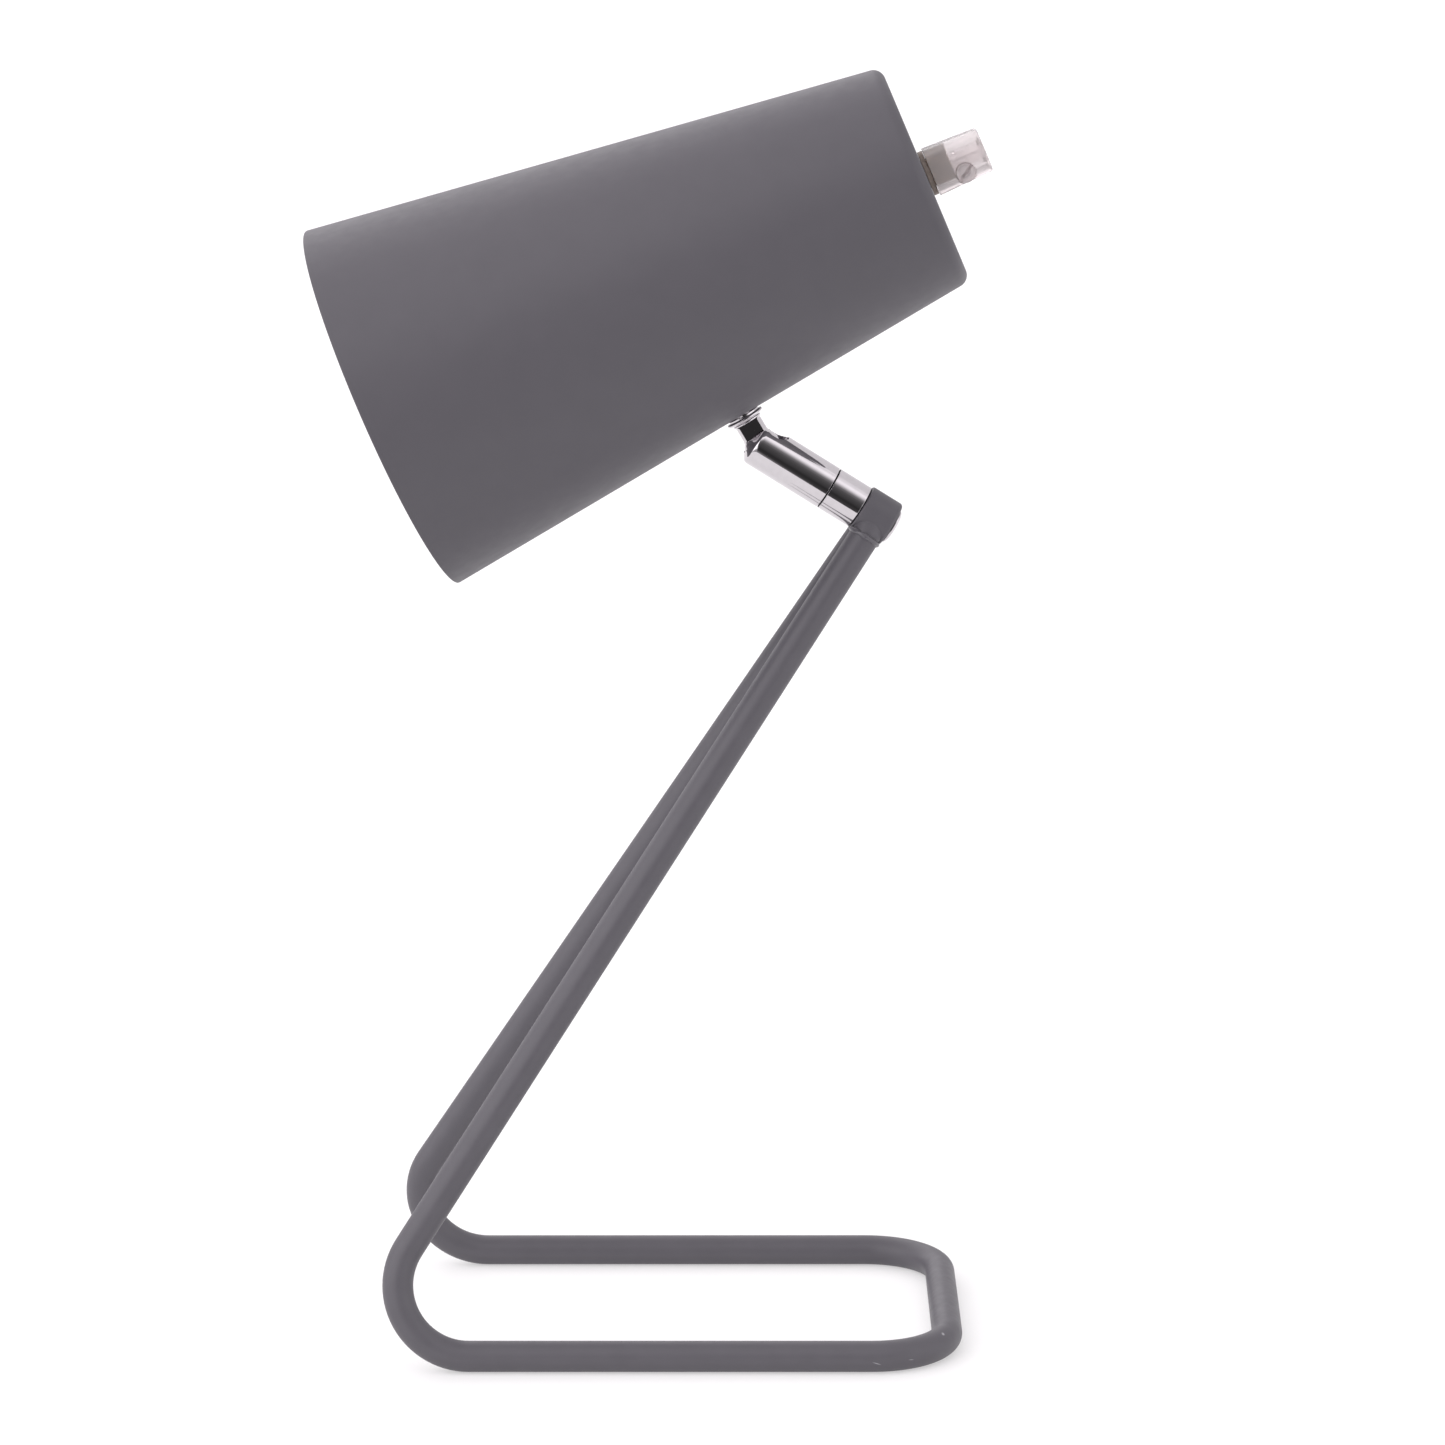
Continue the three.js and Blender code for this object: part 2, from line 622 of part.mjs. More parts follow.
const CAP_INNER_R = HOLDER_R - 1.7;
const CAP_NECK_R = 8;
const BODY_THREAD_R = CAP_INNER_R - GAP;
const BODY_INNER_R = 15.2;
const BLOCK_END = HOLDER_JOIN;
const SHELL_R = 14.2;
const SHELL_INNER_R = BULB_CAP_R + 0.4;
const SHELL_START = BLOCK_END + GAP;
const TERMINAL_X = 8;
const TERMINAL_R = 1.5;
const TERMINAL_DEPTH = 6;

function holderCap() {
  const bore = NIPPLE_R + GAP;
  const neckEnd = 9;
  const neckInnerEnd = 11;
  return turned([
    [bore, HOLDER_START],
    [CAP_NECK_R, HOLDER_START],
    [CAP_NECK_R, neckEnd],
    [HOLDER_R - 2.5, neckEnd + 3],
    [HOLDER_R, neckEnd + 6],
    [HOLDER_R, HOLDER_JOIN],
    [CAP_INNER_R, HOLDER_JOIN],
    [CAP_INNER_R, neckInnerEnd + 4.6],
    [CAP_INNER_R - 1.8, neckInnerEnd + 2.8],
    [CAP_NECK_R, neckInnerEnd],
    [bore, neckInnerEnd],
  ]);
}

function holderBody() {
  const shoulder = HOLDER_JOIN + GAP;
  const threadStart = BLOCK_START - 1;
  const lipR = BODY_INNER_R + 1.2;
  return turned([
    [BODY_INNER_R, threadStart],
    [BODY_THREAD_R, threadStart],
    [BODY_THREAD_R, shoulder],
    [HOLDER_R, shoulder],
    [HOLDER_R, shoulder + 1.7],
    [HOLDER_R - 1.2, shoulder + 2.7],
    [lipR + 0.8, HOLDER_END - 0.8],
    [lipR, HOLDER_END],
    [BODY_INNER_R, HOLDER_END],
  ]);
}

function contactBlock() {
  const block = rod(BODY_INNER_R - GAP, BLOCK_START, BLOCK_END);
  const hole = rod(TERMINAL_R + GAP, BLOCK_START - 1, BLOCK_START + TERMINAL_DEPTH, 16);
  return block.subtract(hole.translate([TERMINAL_X, 0, 0])).subtract(hole.translate([-TERMINAL_X, 0, 0]));
}

function screwShell() {
  const flange = 0.5;
  const holeR = 9;
  const end = HOLDER_END - 4;
  return turned([
    [holeR, SHELL_START],
    [SHELL_R, SHELL_START],
    [SHELL_R, end],
    [SHELL_INNER_R, end],
    [SHELL_INNER_R, SHELL_START + flange],
    [holeR, SHELL_START + flange],
  ]);
}

// A folded strip that springs up to the tip of the bulb.
function centreContact() {
  const foot = SHELL_START;
  const reach = BULB_TIP - GAP;
  const thick = 0.5;
  const strip = new THREE.Shape([
    new THREE.Vector2(-5, foot),
    new THREE.Vector2(5, foot),
    new THREE.Vector2(5, foot + 1),
    new THREE.Vector2(1, reach),
    new THREE.Vector2(-3, reach),
    new THREE.Vector2(-3, reach - thick),
    new THREE.Vector2(0.7, reach - thick),
    new THREE.Vector2(4, foot + thick),
    new THREE.Vector2(-5, foot + thick),
  ]);
  const width = 5;
  const geometry = new THREE.ExtrudeGeometry(strip, { depth: width, bevelEnabled: false });
  return solidOf(geometry.translate(0, 0, -width / 2).rotateX(Math.PI / 2));
}

function terminalScrew(side) {
  const seat = BLOCK_START - GAP;
  const top = seat - 1.6;
  const headR = 2.6;
  const tip = BLOCK_START + TERMINAL_DEPTH - 1;
  const profile = [[0, top], [headR, top], [headR, seat], [TERMINAL_R, seat], [TERMINAL_R, tip], [0, tip]];
  const screw = turned(profile, 16);
  const slot = solidOf(new THREE.BoxGeometry(6, 0.8, 1.2)).translate([0, 0, top]);
  return screw.subtract(slot).translate([side * TERMINAL_X, 0, 0]);
}

add(shadeFrame, 'holder_cap', holderCap(), BLACK_PLASTIC);
add(shadeFrame, 'holder_body', holderBody(), BLACK_PLASTIC);
add(shadeFrame, 'contact_block', contactBlock(), CERAMIC);
add(shadeFrame, 'screw_shell', screwShell(), BRASS);
add(shadeFrame, 'centre_contact', centreContact(), BRASS);
add(shadeFrame, 'terminal_screw_1', terminalScrew(1), STEEL);
add(shadeFrame, 'terminal_screw_2', terminalScrew(-1), STEEL);

// ---------------------------------------------------------------- bulb

const TIP_HEIGHT = 1.5;
const INSULATOR_START = BULB_TIP + TIP_HEIGHT + GAP;
const CAP_START = 37.5;

function bulbTip() {
  const end = BULB_TIP + TIP_HEIGHT;
  return turned([[0, BULB_TIP], [3, BULB_TIP + 0.3], [4.4, end], [0, end]]);
}

function bulbInsulator() {
  const end = CAP_START - GAP;
  const smallR = 5;
  const bigR = 10;
  const straight = 0.5;
  const cone = INSULATOR_START + straight;
  return turned([[0, INSULATOR_START], [smallR, INSULATOR_START], [smallR, cone], [bigR, end], [0, end]]);
}

function bulbCap() {
  const wall = 0.5;
  const holeR = 9;
  const shoulderR = 10.5;
  const shoulderHeight = 2.5;
  return turned([
    [holeR, CAP_START],
    [shoulderR, CAP_START],
    [BULB_CAP_R, CAP_START + shoulderHeight],
    [BULB_CAP_R, BULB_CAP_END],
    [BULB_CAP_R - wall, BULB_CAP_END],
    [BULB_CAP_R - wall, CAP_START + shoulderHeight + 0.2],
    [shoulderR - 0.2, CAP_START + wall],
    [holeR, CAP_START + wall],
  ]);
}

// A flared heat sink: its radius at a few distances from the shade's small end.
function bulbHousing() {
  const outer = [[13.8, BULB_CAP_END + GAP], [15, 62], [19, 74], [24, 88], [26.2, DIFFUSER_START - GAP]];
  const wall = 1.4;
  const inner = outer.map(([r, z]) => [r - wall, z]).reverse();
  return turned([...outer, ...inner]);
}

// The plate that carries the light sources, across the housing.
const bulbBoard = () => rod(22.5, 90, 91.5);

function bulbDiffuser() {
  const centre = BULB_TIP + BULB_LENGTH - BULB_R;
  const wall = 1.2;
  const start = THREE.MathUtils.radToDeg(Math.asin((DIFFUSER_START - centre) / BULB_R));
  return turned([
    ...arc(0, centre, BULB_R, start, 80, 9),
    [0, centre + BULB_R],
    [0, centre + BULB_R - wall],
    ...arc(0, centre, BULB_R - wall, 80, start, 7),
  ]);
}

add(shadeFrame, 'bulb_tip', bulbTip(), STEEL);
add(shadeFrame, 'bulb_insulator', bulbInsulator(), BLACK_GLASS);
add(shadeFrame, 'bulb_cap', bulbCap(), ALUMINIUM);
add(shadeFrame, 'bulb_housing', bulbHousing(), WHITE_PLASTIC);
add(shadeFrame, 'bulb_board', bulbBoard(), ALUMINIUM);
add(shadeFrame, 'bulb_diffuser', bulbDiffuser(), WHITE_PLASTIC);

export default lamp;
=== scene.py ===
"""Looks of the desk lamp: fine meshes, finishes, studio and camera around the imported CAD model.
Lengths are millimetres, in the axes of the group that a piece belongs to. The studio and the camera
are in metres, in the lamp's own axes."""

import json
import math

import bpy
from mathutils import Matrix, Vector, noise


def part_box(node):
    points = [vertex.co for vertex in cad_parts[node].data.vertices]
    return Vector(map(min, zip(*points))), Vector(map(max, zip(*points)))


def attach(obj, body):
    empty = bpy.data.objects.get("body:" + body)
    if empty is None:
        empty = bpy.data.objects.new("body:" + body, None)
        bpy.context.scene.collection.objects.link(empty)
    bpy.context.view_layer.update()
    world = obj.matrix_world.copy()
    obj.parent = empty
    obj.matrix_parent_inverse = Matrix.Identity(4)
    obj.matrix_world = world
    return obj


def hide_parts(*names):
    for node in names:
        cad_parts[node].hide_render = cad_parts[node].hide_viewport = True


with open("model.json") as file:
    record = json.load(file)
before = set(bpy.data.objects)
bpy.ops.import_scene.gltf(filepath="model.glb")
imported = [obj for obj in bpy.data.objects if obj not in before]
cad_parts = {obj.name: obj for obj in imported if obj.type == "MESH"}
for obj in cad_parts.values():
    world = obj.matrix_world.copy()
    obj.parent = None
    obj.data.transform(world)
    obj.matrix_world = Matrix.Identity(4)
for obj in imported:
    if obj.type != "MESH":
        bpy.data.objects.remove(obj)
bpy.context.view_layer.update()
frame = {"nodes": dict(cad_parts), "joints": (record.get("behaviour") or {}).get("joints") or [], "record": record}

MM = 0.001
joints = {joint["name"]: joint for joint in frame["joints"]}
mounts = {mount["name"]: mount for mount in frame["record"]["mounts"]}

# ---------------- dimensions, as in the CAD source

GAP = 0.3  # between pieces that touch

# Stand. Each leg's line meets its base bar at LEG_FOOT_X, and the bend between them is rounded.
ROD_R = 5
LEG_FOOT_X = -100.55
BASE_HALF_WIDTH = 56.8
BASE_CORNER_R = 25
LEG_BEND_R = 22.8
LEG_RISE = math.radians(56.78)
LEG_LENGTH = 309.8  # seen from the side
LEG_TOP_Y = 5.35

# Collar and knuckle, on one axis.
COLLAR_R = 7.95
COLLAR_LENGTH = 11.4
SCREW_R = 3
SCREW_HEAD_R = 5.7
SCREW_HEAD_HEIGHT = 1.3
HEX_SOCKET = 4  # across flats
KNUCKLE_R = 7.25
SEAM = 17.87  # from the collar's middle
SCREW_END = 13.2
PIVOT_R = 2
BARREL_FLOOR = 2
BALL_FROM_COLLAR = 42.96
MOUTH_R = 4.8
NOSE_PAST_BALL = 4.45
SLOT_HALF_WIDTH = 4.8
SLOT_PAST_BALL = 6.3

# Ball stud, and what it clamps to the shade.
BALL_R = 5.9
SOCKET_R = 6.3
NECK_R = 4.4
NECK_END = 10.2
NECK_FLATS = 5.9  # across the two spanner flats
NECK_LIP_R = 4.9
STUD_R = 3.9
STUD_END = 22.5
STANDOFF = 12.5  # from the ball's centre to the shade
SADDLE_RIM_R = 6.35
SADDLE_HUB_R = 5.3
INNER_WASHER_R = 7.5
INNER_WASHER_START = 14.4
INNER_WASHER_END = 15.6
SHADE_NUT_FLATS = 13
SHADE_NUT_HEIGHT = 5

# Shade. Its axis runs from the closed small end to the mouth.
SHADE_LENGTH = 189.5
SHADE_SMALL_R = 36.68
SHADE_MOUTH_R = 61.55
SHADE_WALL = 1
SHADE_EDGE_R = 4
STUD_FROM_SMALL_END = 83.85

# Cord grip and nipple.
GRIP_START = -1.8
GRIP_END = -20.3
GRIP_INNER_HALF = 7.7
GRIP_OUTER_HALF = 7.05
GRIP_EDGE_R = 3.2
CORD_MOUNT_X = 5.8
CORD_HOLE_R = 3.6
CORD_MOUTH_FLARE = 1.1
CORD_MOUTH_DEPTH = 1.8
CLAMP_SCREW_Z = -11.9
CLAMP_SCREW_X = -4.1
CLAMP_HEAD_R = 3.2
CLAMP_SHANK_R = 1.6
CLAMP_HEAD_START = 5.4
CLAMP_HEAD_END = 7.0
CLAMP_TIP = -3.5
NIPPLE_R = 4.9
NIPPLE_BORE_R = 3.6
NIPPLE_OUTER_END = -8.6
NIPPLE_INNER_END = 9.6
LOCK_WASHER_R = 8
LOCK_WASHER_END = 2
NIPPLE_NUT_FLATS = 14

# Lampholder and bulb, as distances from the shade's small end.
HOLDER_R = 19.5
HOLDER_START = 5.1
HOLDER_JOIN = 28
HOLDER_END = 55
CAP_NECK_R = 8
BODY_INNER_R = 15.2
BULB_TIP = 32
BULB_R = 30
BULB_LENGTH = 108
BULB_CAP_R = 13.2
BULB_CAP_START = 37.5
BULB_CAP_END = 58
DIFFUSER_START = 96

# ---------------- axes of each group


def axes(origin, z_axis):
    """The matrix of a group in the plane y = 0, with its +Z along z_axis and its +Y unchanged."""
    z = Vector(z_axis).normalized()
    y = Vector((0, 1, 0))
    turn = Matrix((y.cross(z), y, z)).transposed().to_4x4()
    return Matrix.Translation(origin) @ turn


swivel = joints["knuckle_swivel"]
knuckle_axis = Vector(swivel["axis"]).normalized()
collar_centre = Vector(swivel["pos_m"]) - knuckle_axis * SEAM * MM
ball_centre = Vector(joints["shade_tilt"]["pos_m"])
shade_out = Vector(mounts["cord_entry"]["axis"]).normalized()

STAND = Matrix.Identity(4)
KNUCKLE = axes(collar_centre, knuckle_axis)
BALL = axes(ball_centre, joints["shade_turn"]["axis"])
SHADE = axes(Vector(mounts["cord_entry"]["pos_m"]), -shade_out)
SHADE = SHADE @ Matrix.Translation((-CORD_MOUNT_X * MM, 0, -GRIP_END * MM))

# ---------------- finishes

MIX_A, MIX_B, MIX_RESULT = 6, 7, 2  # the colour sockets of a Mix node
NOISE_LOW, NOISE_HIGH = 0.25, 0.75  # nearly all of a noise texture lies between these


class Finish:
    """A procedural material: a Principled shader whose colour, roughness and bump vary with noise."""

    def __init__(self, name, color, roughness, metallic=0.0, **sockets):
        self.material = bpy.data.materials.new(name)
        self.material.use_nodes = True
        self.nodes = self.material.node_tree.nodes
        self.links = self.material.node_tree.links
        self.shader = self.nodes["Principled BSDF"]
        self.shader.inputs["Base Color"].default_value = (*color, 1)
        self.shader.inputs["Roughness"].default_value = roughness
        self.shader.inputs["Metallic"].default_value = metallic
        for socket, value in sockets.items():
            self.shader.inputs[socket.replace("_", " ")].default_value = value
        self.color = color
        self.roughness = roughness
        self.place = self.node("ShaderNodeTexCoord").outputs["Object"]
        self.height = None

    def node(self, kind, **settings):
        made = self.nodes.new(kind)
        for key, value in settings.items():
            setattr(made, key, value)
        return made

    def math(self, operation, *values, clamp=False):
        made = self.node("ShaderNodeMath", operation=operation, use_clamp=clamp)
        for socket, value in zip(made.inputs, values):
            if isinstance(value, (int, float)):
                socket.default_value = value
            else:
                self.links.new(value, socket)
        return made.outputs[0]

    def stretched(self, scale):
        made = self.node("ShaderNodeVectorMath", operation="MULTIPLY")
        self.links.new(self.place, made.inputs[0])
        made.inputs[1].default_value = scale
        return made.outputs[0]

    def noise(self, size, detail=2.0, stretch=(1, 1, 1), low=0.0, high=1.0):
        """Noise with blotches of that size in millimetres, from low to high."""
        made = self.node("ShaderNodeTexNoise")
        made.inputs["Scale"].default_value = 1 / (size * MM)
        made.inputs["Detail"].default_value = detail
        self.links.new(self.stretched(stretch), made.inputs["Vector"])
        spread = self.node("ShaderNodeMapRange")
        spread.inputs["From Min"].default_value = NOISE_LOW
        spread.inputs["From Max"].default_value = NOISE_HIGH
        spread.inputs["To Min"].default_value = low
        spread.inputs["To Max"].default_value = high
        self.links.new(made.outputs["Fac"], spread.inputs["Value"])
        return spread.outputs["Result"]

    def mottled(self, size, share, marks=None, mark_color=(1, 1, 1)):
        """The colour varies by that share in blotches of that size, with marks mixed over it."""
        blotches = self.node("ShaderNodeVectorMath", operation="SCALE")
        blotches.inputs[0].default_value = self.color
        self.links.new(self.noise(size, low=1 - share, high=1 + share), blotches.inputs["Scale"])
        source = blotches.outputs[0]
        if marks is not None:
            over = self.node("ShaderNodeMix", data_type="RGBA")
            self.links.new(marks, over.inputs[0])
            self.links.new(source, over.inputs[MIX_A])
            over.inputs[MIX_B].default_value = (*mark_color, 1)
            source = over.outputs[MIX_RESULT]
        self.links.new(source, self.shader.inputs["Base Color"])
        return self

    def uneven(self, size, spread, stretch=(1, 1, 1)):
        """The roughness varies by that much either way."""
        low, high = self.roughness - spread, self.roughness + spread
        self.links.new(self.noise(size, 3.0, stretch, low, high), self.shader.inputs["Roughness"])
        return self

    def grained(self, *layers):
        """Bump from layers of (size in millimetres, height in micrometres, stretch)."""
        total = None
        for size, height, *stretch in layers:
            layer = self.noise(size, 2.0, *stretch, low=0.0, high=height / 1000)
            total = layer if total is None else self.math("ADD", total, layer)
        bump = self.node("ShaderNodeBump")
        bump.inputs["Distance"].default_value = MM
        bump.inputs["Strength"].default_value = 1.0
        self.links.new(total, bump.inputs["Height"])
        self.links.new(bump.outputs["Normal"], self.shader.inputs["Normal"])
        return self

    def strokes(self, marks):
        """A mask of short thin strokes: (centre, length, width, slope in degrees in the XZ plane)."""
        total = None
        depth = 3
        for centre, length, width, slope in marks:
            moved = self.node("ShaderNodeVectorMath", operation="SUBTRACT")
            self.links.new(self.place, moved.inputs[0])
            moved.inputs[1].default_value = [c * MM for c in centre]
            turned_to = self.node("ShaderNodeVectorRotate", rotation_type="Y_AXIS")
            self.links.new(moved.outputs[0], turned_to.inputs["Vector"])
            turned_to.inputs["Angle"].default_value = math.radians(slope)
            scaled = self.node("ShaderNodeVectorMath", operation="MULTIPLY")
            self.links.new(turned_to.outputs[0], scaled.inputs[0])
            scaled.inputs[1].default_value = (2 / (length * MM), 1 / (depth * MM), 2 / (width * MM))
            reach = self.node("ShaderNodeVectorMath", operation="LENGTH")
            self.links.new(scaled.outputs[0], reach.inputs[0])
            fade = self.node("ShaderNodeMapRange")
            fade.inputs["From Min"].default_value = 1.0
            fade.inputs["From Max"].default_value = 0.35
            self.links.new(reach.outputs["Value"], fade.inputs["Value"])
            stroke = fade.outputs["Result"]
            total = stroke if total is None else self.math("MAXIMUM", total, stroke)
        return total


COAT = (0.089, 0.084, 0.096)
rod_coat = Finish("rod_powder_coat", COAT, 0.46, Specular_IOR_Level=0.42)
scuffs = rod_coat.strokes(
    [
        ((72.8, -61.5, 4.2), 3.4, 0.35, -18),
        ((84.0, -60.0, 4.6), 2.2, 0.3, -6),
        ((94.6, -46.5, 9.2), 1.4, 0.5, -30),
        ((-26.0, -33.0, 118.0), 1.8, 0.25, 40),
        ((21.0, -20.0, 193.0), 1.2, 0.25, -70),
    ]
)
rod_coat.mottled(6, 0.035, rod_coat.math("MULTIPLY", scuffs, 0.55), (0.55, 0.54, 0.57))
rod_coat.uneven(3, 0.05).grained((0.55, 2.2), (2.5, 5))
weld_coat = Finish("weld_powder_coat", COAT, 0.3, Specular_IOR_Level=0.6)
weld_coat.mottled(2, 0.1).uneven(1, 0.08).grained((0.5, 3))
shade_coat = Finish("shade_powder_coat", COAT, 0.52, Specular_IOR_Level=0.4)
shade_coat.mottled(9, 0.02).uneven(4, 0.04).grained((0.5, 1.6), (3, 4))
# Near-black paint for the faces inside the knuckle's seam: painted shade in its groove.
seam_shade_paint = Finish("seam_shade_paint", (0.012, 0.012, 0.013), 0.6)
seam_shade_paint.mottled(1, 0.1).uneven(1, 0.1).grained((0.3, 1.5))
enamel = Finish("shade_white_enamel", (0.78, 0.765, 0.74), 0.38)
enamel.mottled(8, 0.02).uneven(5, 0.05).grained((0.9, 2.5), (4, 6))
chrome = Finish("bright_chrome", (0.6, 0.575, 0.595), 0.05, 1.0)
chrome.mottled(2, 0.03).uneven(1.6, 0.025).grained((1.2, 0.25), (5, 0.8))
steel = Finish("zinc_steel", (0.58, 0.56, 0.545), 0.34, 1.0)
steel.mottled(1.5, 0.08).uneven(0.8, 0.1).grained((0.25, 1.5))
# Dark brown for the end washer: painted shade where the cord grip meets the shade.
washer_painted_shade = Finish("steel_painted_shade", (0.28, 0.23, 0.2), 0.5, 0.3)
washer_painted_shade.mottled(1.5, 0.15).uneven(1, 0.1).grained((0.3, 1.5))
brass = Finish("brass", (0.62, 0.44, 0.2), 0.3, 1.0)
brass.mottled(1.5, 0.1).uneven(0.8, 0.1).grained((0.3, 1.5))
# Brass darkened as painted shade, for the nipple seen inside the cord grip.
nipple_painted_shade = Finish("brass_painted_shade", (0.25, 0.185, 0.11), 0.36, 1.0)
nipple_painted_shade.mottled(2, 0.3).uneven(0.8, 0.1).grained((0.3, 1.5))
nylon = Finish("clear_nylon", (0.9, 0.845, 0.845), 0.17, IOR=1.42, Transmission_Weight=0.64)
nylon.mottled(3, 0.02).uneven(2, 0.05).grained((1.2, 1.5), (4, 8))
black_plastic = Finish("black_plastic", (0.018, 0.018, 0.019), 0.42)
black_plastic.mottled(3, 0.15).uneven(2, 0.08).grained((0.4, 3))
white_plastic = Finish("white_plastic", (0.74, 0.735, 0.71), 0.4)
white_plastic.mottled(6, 0.02).uneven(3, 0.06).grained((0.45, 3))
opal = Finish("opal_plastic", (0.83, 0.83, 0.8), 0.3, Subsurface_Weight=0.4, Subsurface_Scale=0.004)
opal.mottled(8, 0.01).uneven(4, 0.05).grained((1.2, 2))
ceramic = Finish("ceramic", (0.72, 0.69, 0.63), 0.5)
ceramic.mottled(1.5, 0.05).uneven(1, 0.1).grained((0.3, 6))
aluminium = Finish("cap_aluminium", (0.62, 0.63, 0.64), 0.32, 1.0)
aluminium.mottled(2, 0.05).uneven(1, 0.08, (1, 1, 6)).grained((0.3, 1.5, (1, 1, 6)))
black_glass = Finish("black_glass", (0.012, 0.012, 0.014), 0.12)
black_glass.mottled(2, 0.2).uneven(1, 0.05).grained((0.8, 2))

# ---------------- mesh helpers

SMOOTH = 0.0  # a profile corner of this radius is a point on a smooth curve
EDGE = 0.12  # radius of a profile corner that states none
TURN_STEP = math.radians(11)  # the most that one edge of a rounded corner turns


def arc(centre_r, centre_z, radius, start, end, steps):
    """Points of an arc in a profile, in degrees, as points on a smooth curve."""
    angles = [math.radians(start + (end - start) * i / steps) for i in range(steps + 1)]
    return [(centre_r + radius * math.cos(a), centre_z + radius * math.sin(a), SMOOTH) for a in angles]


def rounded(profile, closed):
    """Rounds a profile's corners. Gives (point, tangent) pairs, counter-clockwise about the solid."""
    points = [(Vector(p[:2]), p[2] if len(p) > 2 else EDGE) for p in profile]
    count = len(points)
    loop = [p for p, _ in points]
    area = sum(a.x * b.y - b.x * a.y for a, b in zip(loop, loop[1:] + loop[:1]))
    if area < 0:
        points.reverse()
    made = []
    for i, (corner, radius) in enumerate(points):
        if not closed and i in (0, count - 1):
            way = points[1][0] - corner if i == 0 else corner - points[i - 1][0]
            made.append((corner, way.normalized()))
            continue
        before, after = points[i - 1][0], points[(i + 1) % count][0]
        arriving, leaving = (corner - before).normalized(), (after - corner).normalized()
        bend = math.acos(max(-1.0, min(1.0, arriving.dot(leaving))))
        if radius == SMOOTH or bend < 0.01:
            made.append((corner, (arriving + leaving).normalized()))
            continue
        room = 0.45 * min((corner - before).length, (after - corner).length)
        setback = min(radius * math.tan(bend / 2), room)
        radius = setback / math.tan(bend / 2)
        side = 1 if arriving.x * leaving.y - arriving.y * leaving.x > 0 else -1
        start = corner - arriving * setback
        centre = start + Vector((-arriving.y, arriving.x)) * side * radius
        steps = max(2, math.ceil(bend / TURN_STEP))
        for k in range(steps + 1):
            turn = Matrix.Rotation(side * bend * k / steps, 2)
            made.append((centre + turn @ (start - centre), turn @ arriving))
    return made


def mesh_object(name, vertices, faces, place, material, normals=None, sharp=35):
    """A shaded mesh object. Its vertices are in millimetres, in the axes of place."""
    mesh = bpy.data.meshes.new(name)
    mesh.from_pydata([place @ (Vector(v) * MM) for v in vertices], [], faces)
    mesh.shade_smooth()
    if normals:
        turn = place.to_3x3()
        mesh.normals_split_custom_set_from_vertices([turn @ Vector(n) for n in normals])
    else:
        mesh.set_sharp_from_angle(angle=math.radians(sharp))
    made = bpy.data.objects.new(name, mesh)
    bpy.context.scene.collection.objects.link(made)
    made.data.materials.append(material.material)
    return made


def grid_faces(rows, count, closed):
    """Faces between rows of vertex indices. A row of one index is a pole."""
    faces = []
    pairs = list(zip(rows, rows[1:] + rows[:1])) if closed else list(zip(rows, rows[1:]))
    for low, high in pairs:
        for i in range(count):
            j = (i + 1) % count
            ring = [low[i % len(low)], low[j % len(low)], high[j % len(high)], high[i % len(high)]]
            faces.append(list(dict.fromkeys(ring)))
    return faces


def turned(name, profile, place, material, sides=96, shape=None):
    """A piece turned about +Z. shape(angle, r, z) gives another radius, for hexagons and ribs."""
    closed = profile[0][0] > 0
    outline = rounded(profile, closed)
    vertices, normals, rows = [], [], []
    for point, way in outline:
        ring = 1 if point.x < 1e-6 else sides
        rows.append(list(range(len(vertices), len(vertices) + ring)))
        out, up = (0.0, math.copysign(1, -way.x)) if ring == 1 else (way.y, -way.x)
        for i in range(ring):
            angle = 2 * math.pi * i / sides
            r = shape(angle, point.x, point.y) if shape and ring > 1 else point.x
            vertices.append((r * math.cos(angle), r * math.sin(angle), point.y))
            normals.append((out * math.cos(angle), out * math.sin(angle), up))
    faces = grid_faces(rows, sides, closed)
    return mesh_object(name, vertices, faces, place, material, None if shape else normals)


def swept(name, stations, radius, place, material, sides=40, ends=None, closed=False):
    """A round tube through stations. ends(index, point, way) moves the rails of the last rings."""
    count = len(stations)
    points = [Vector(s) for s in stations]
    ways = []
    for i in range(count):
        before = points[i - 1] if closed or i else points[0]
        after = points[(i + 1) % count] if closed or i < count - 1 else points[-1]
        arriving = (points[i] - before).normalized() if before != points[i] else Vector()
        leaving = (after - points[i]).normalized() if after != points[i] else Vector()
        ways.append((arriving + leaving).normalized())
    across = ways[0].orthogonal().normalized()
    vertices, normals, rows = [], [], []
    for i, (point, way) in enumerate(zip(points, ways)):
        if i:
            across = ways[i - 1].rotation_difference(way) @ across
        across = (across - way * across.dot(way)).normalized()
        other = way.cross(across)
        wide = radius(i) if callable(radius) else radius
        rows.append(list(range(len(vertices), len(vertices) + sides)))
        for k in range(sides):
            angle = 2 * math.pi * k / sides
            spoke = across * math.cos(angle) + other * math.sin(angle)
            spot = point + spoke * wide
            if ends and i in (0, count - 1):
                spot = ends(i, spot, way)
            vertices.append(spot)
            normals.append(spoke)
    faces = grid_faces(rows, sides, closed)
    if not closed:
        faces += [list(reversed(rows[0])), rows[-1]]
    return mesh_object(name, vertices, faces, place, material, normals)


def applied(piece):
    """Replaces a piece's mesh by what its modifiers make of it."""
    bpy.context.view_layer.update()
    graph = bpy.context.evaluated_depsgraph_get()
    mesh = bpy.data.meshes.new_from_object(piece.evaluated_get(graph))
    piece.modifiers.clear()
    piece.data = mesh
    return piece


def cut(piece, *cutters, operation="DIFFERENCE"):
    """Takes the cutters out of a piece, or joins them to it with UNION, and removes them."""
    for cutter in cutters:
        step = piece.modifiers.new("cut", "BOOLEAN")
        step.operation = operation
        step.solver = "EXACT"
        step.object = cutter
    applied(piece)
    for cutter in cutters:
        bpy.data.objects.remove(cutter)
    return piece


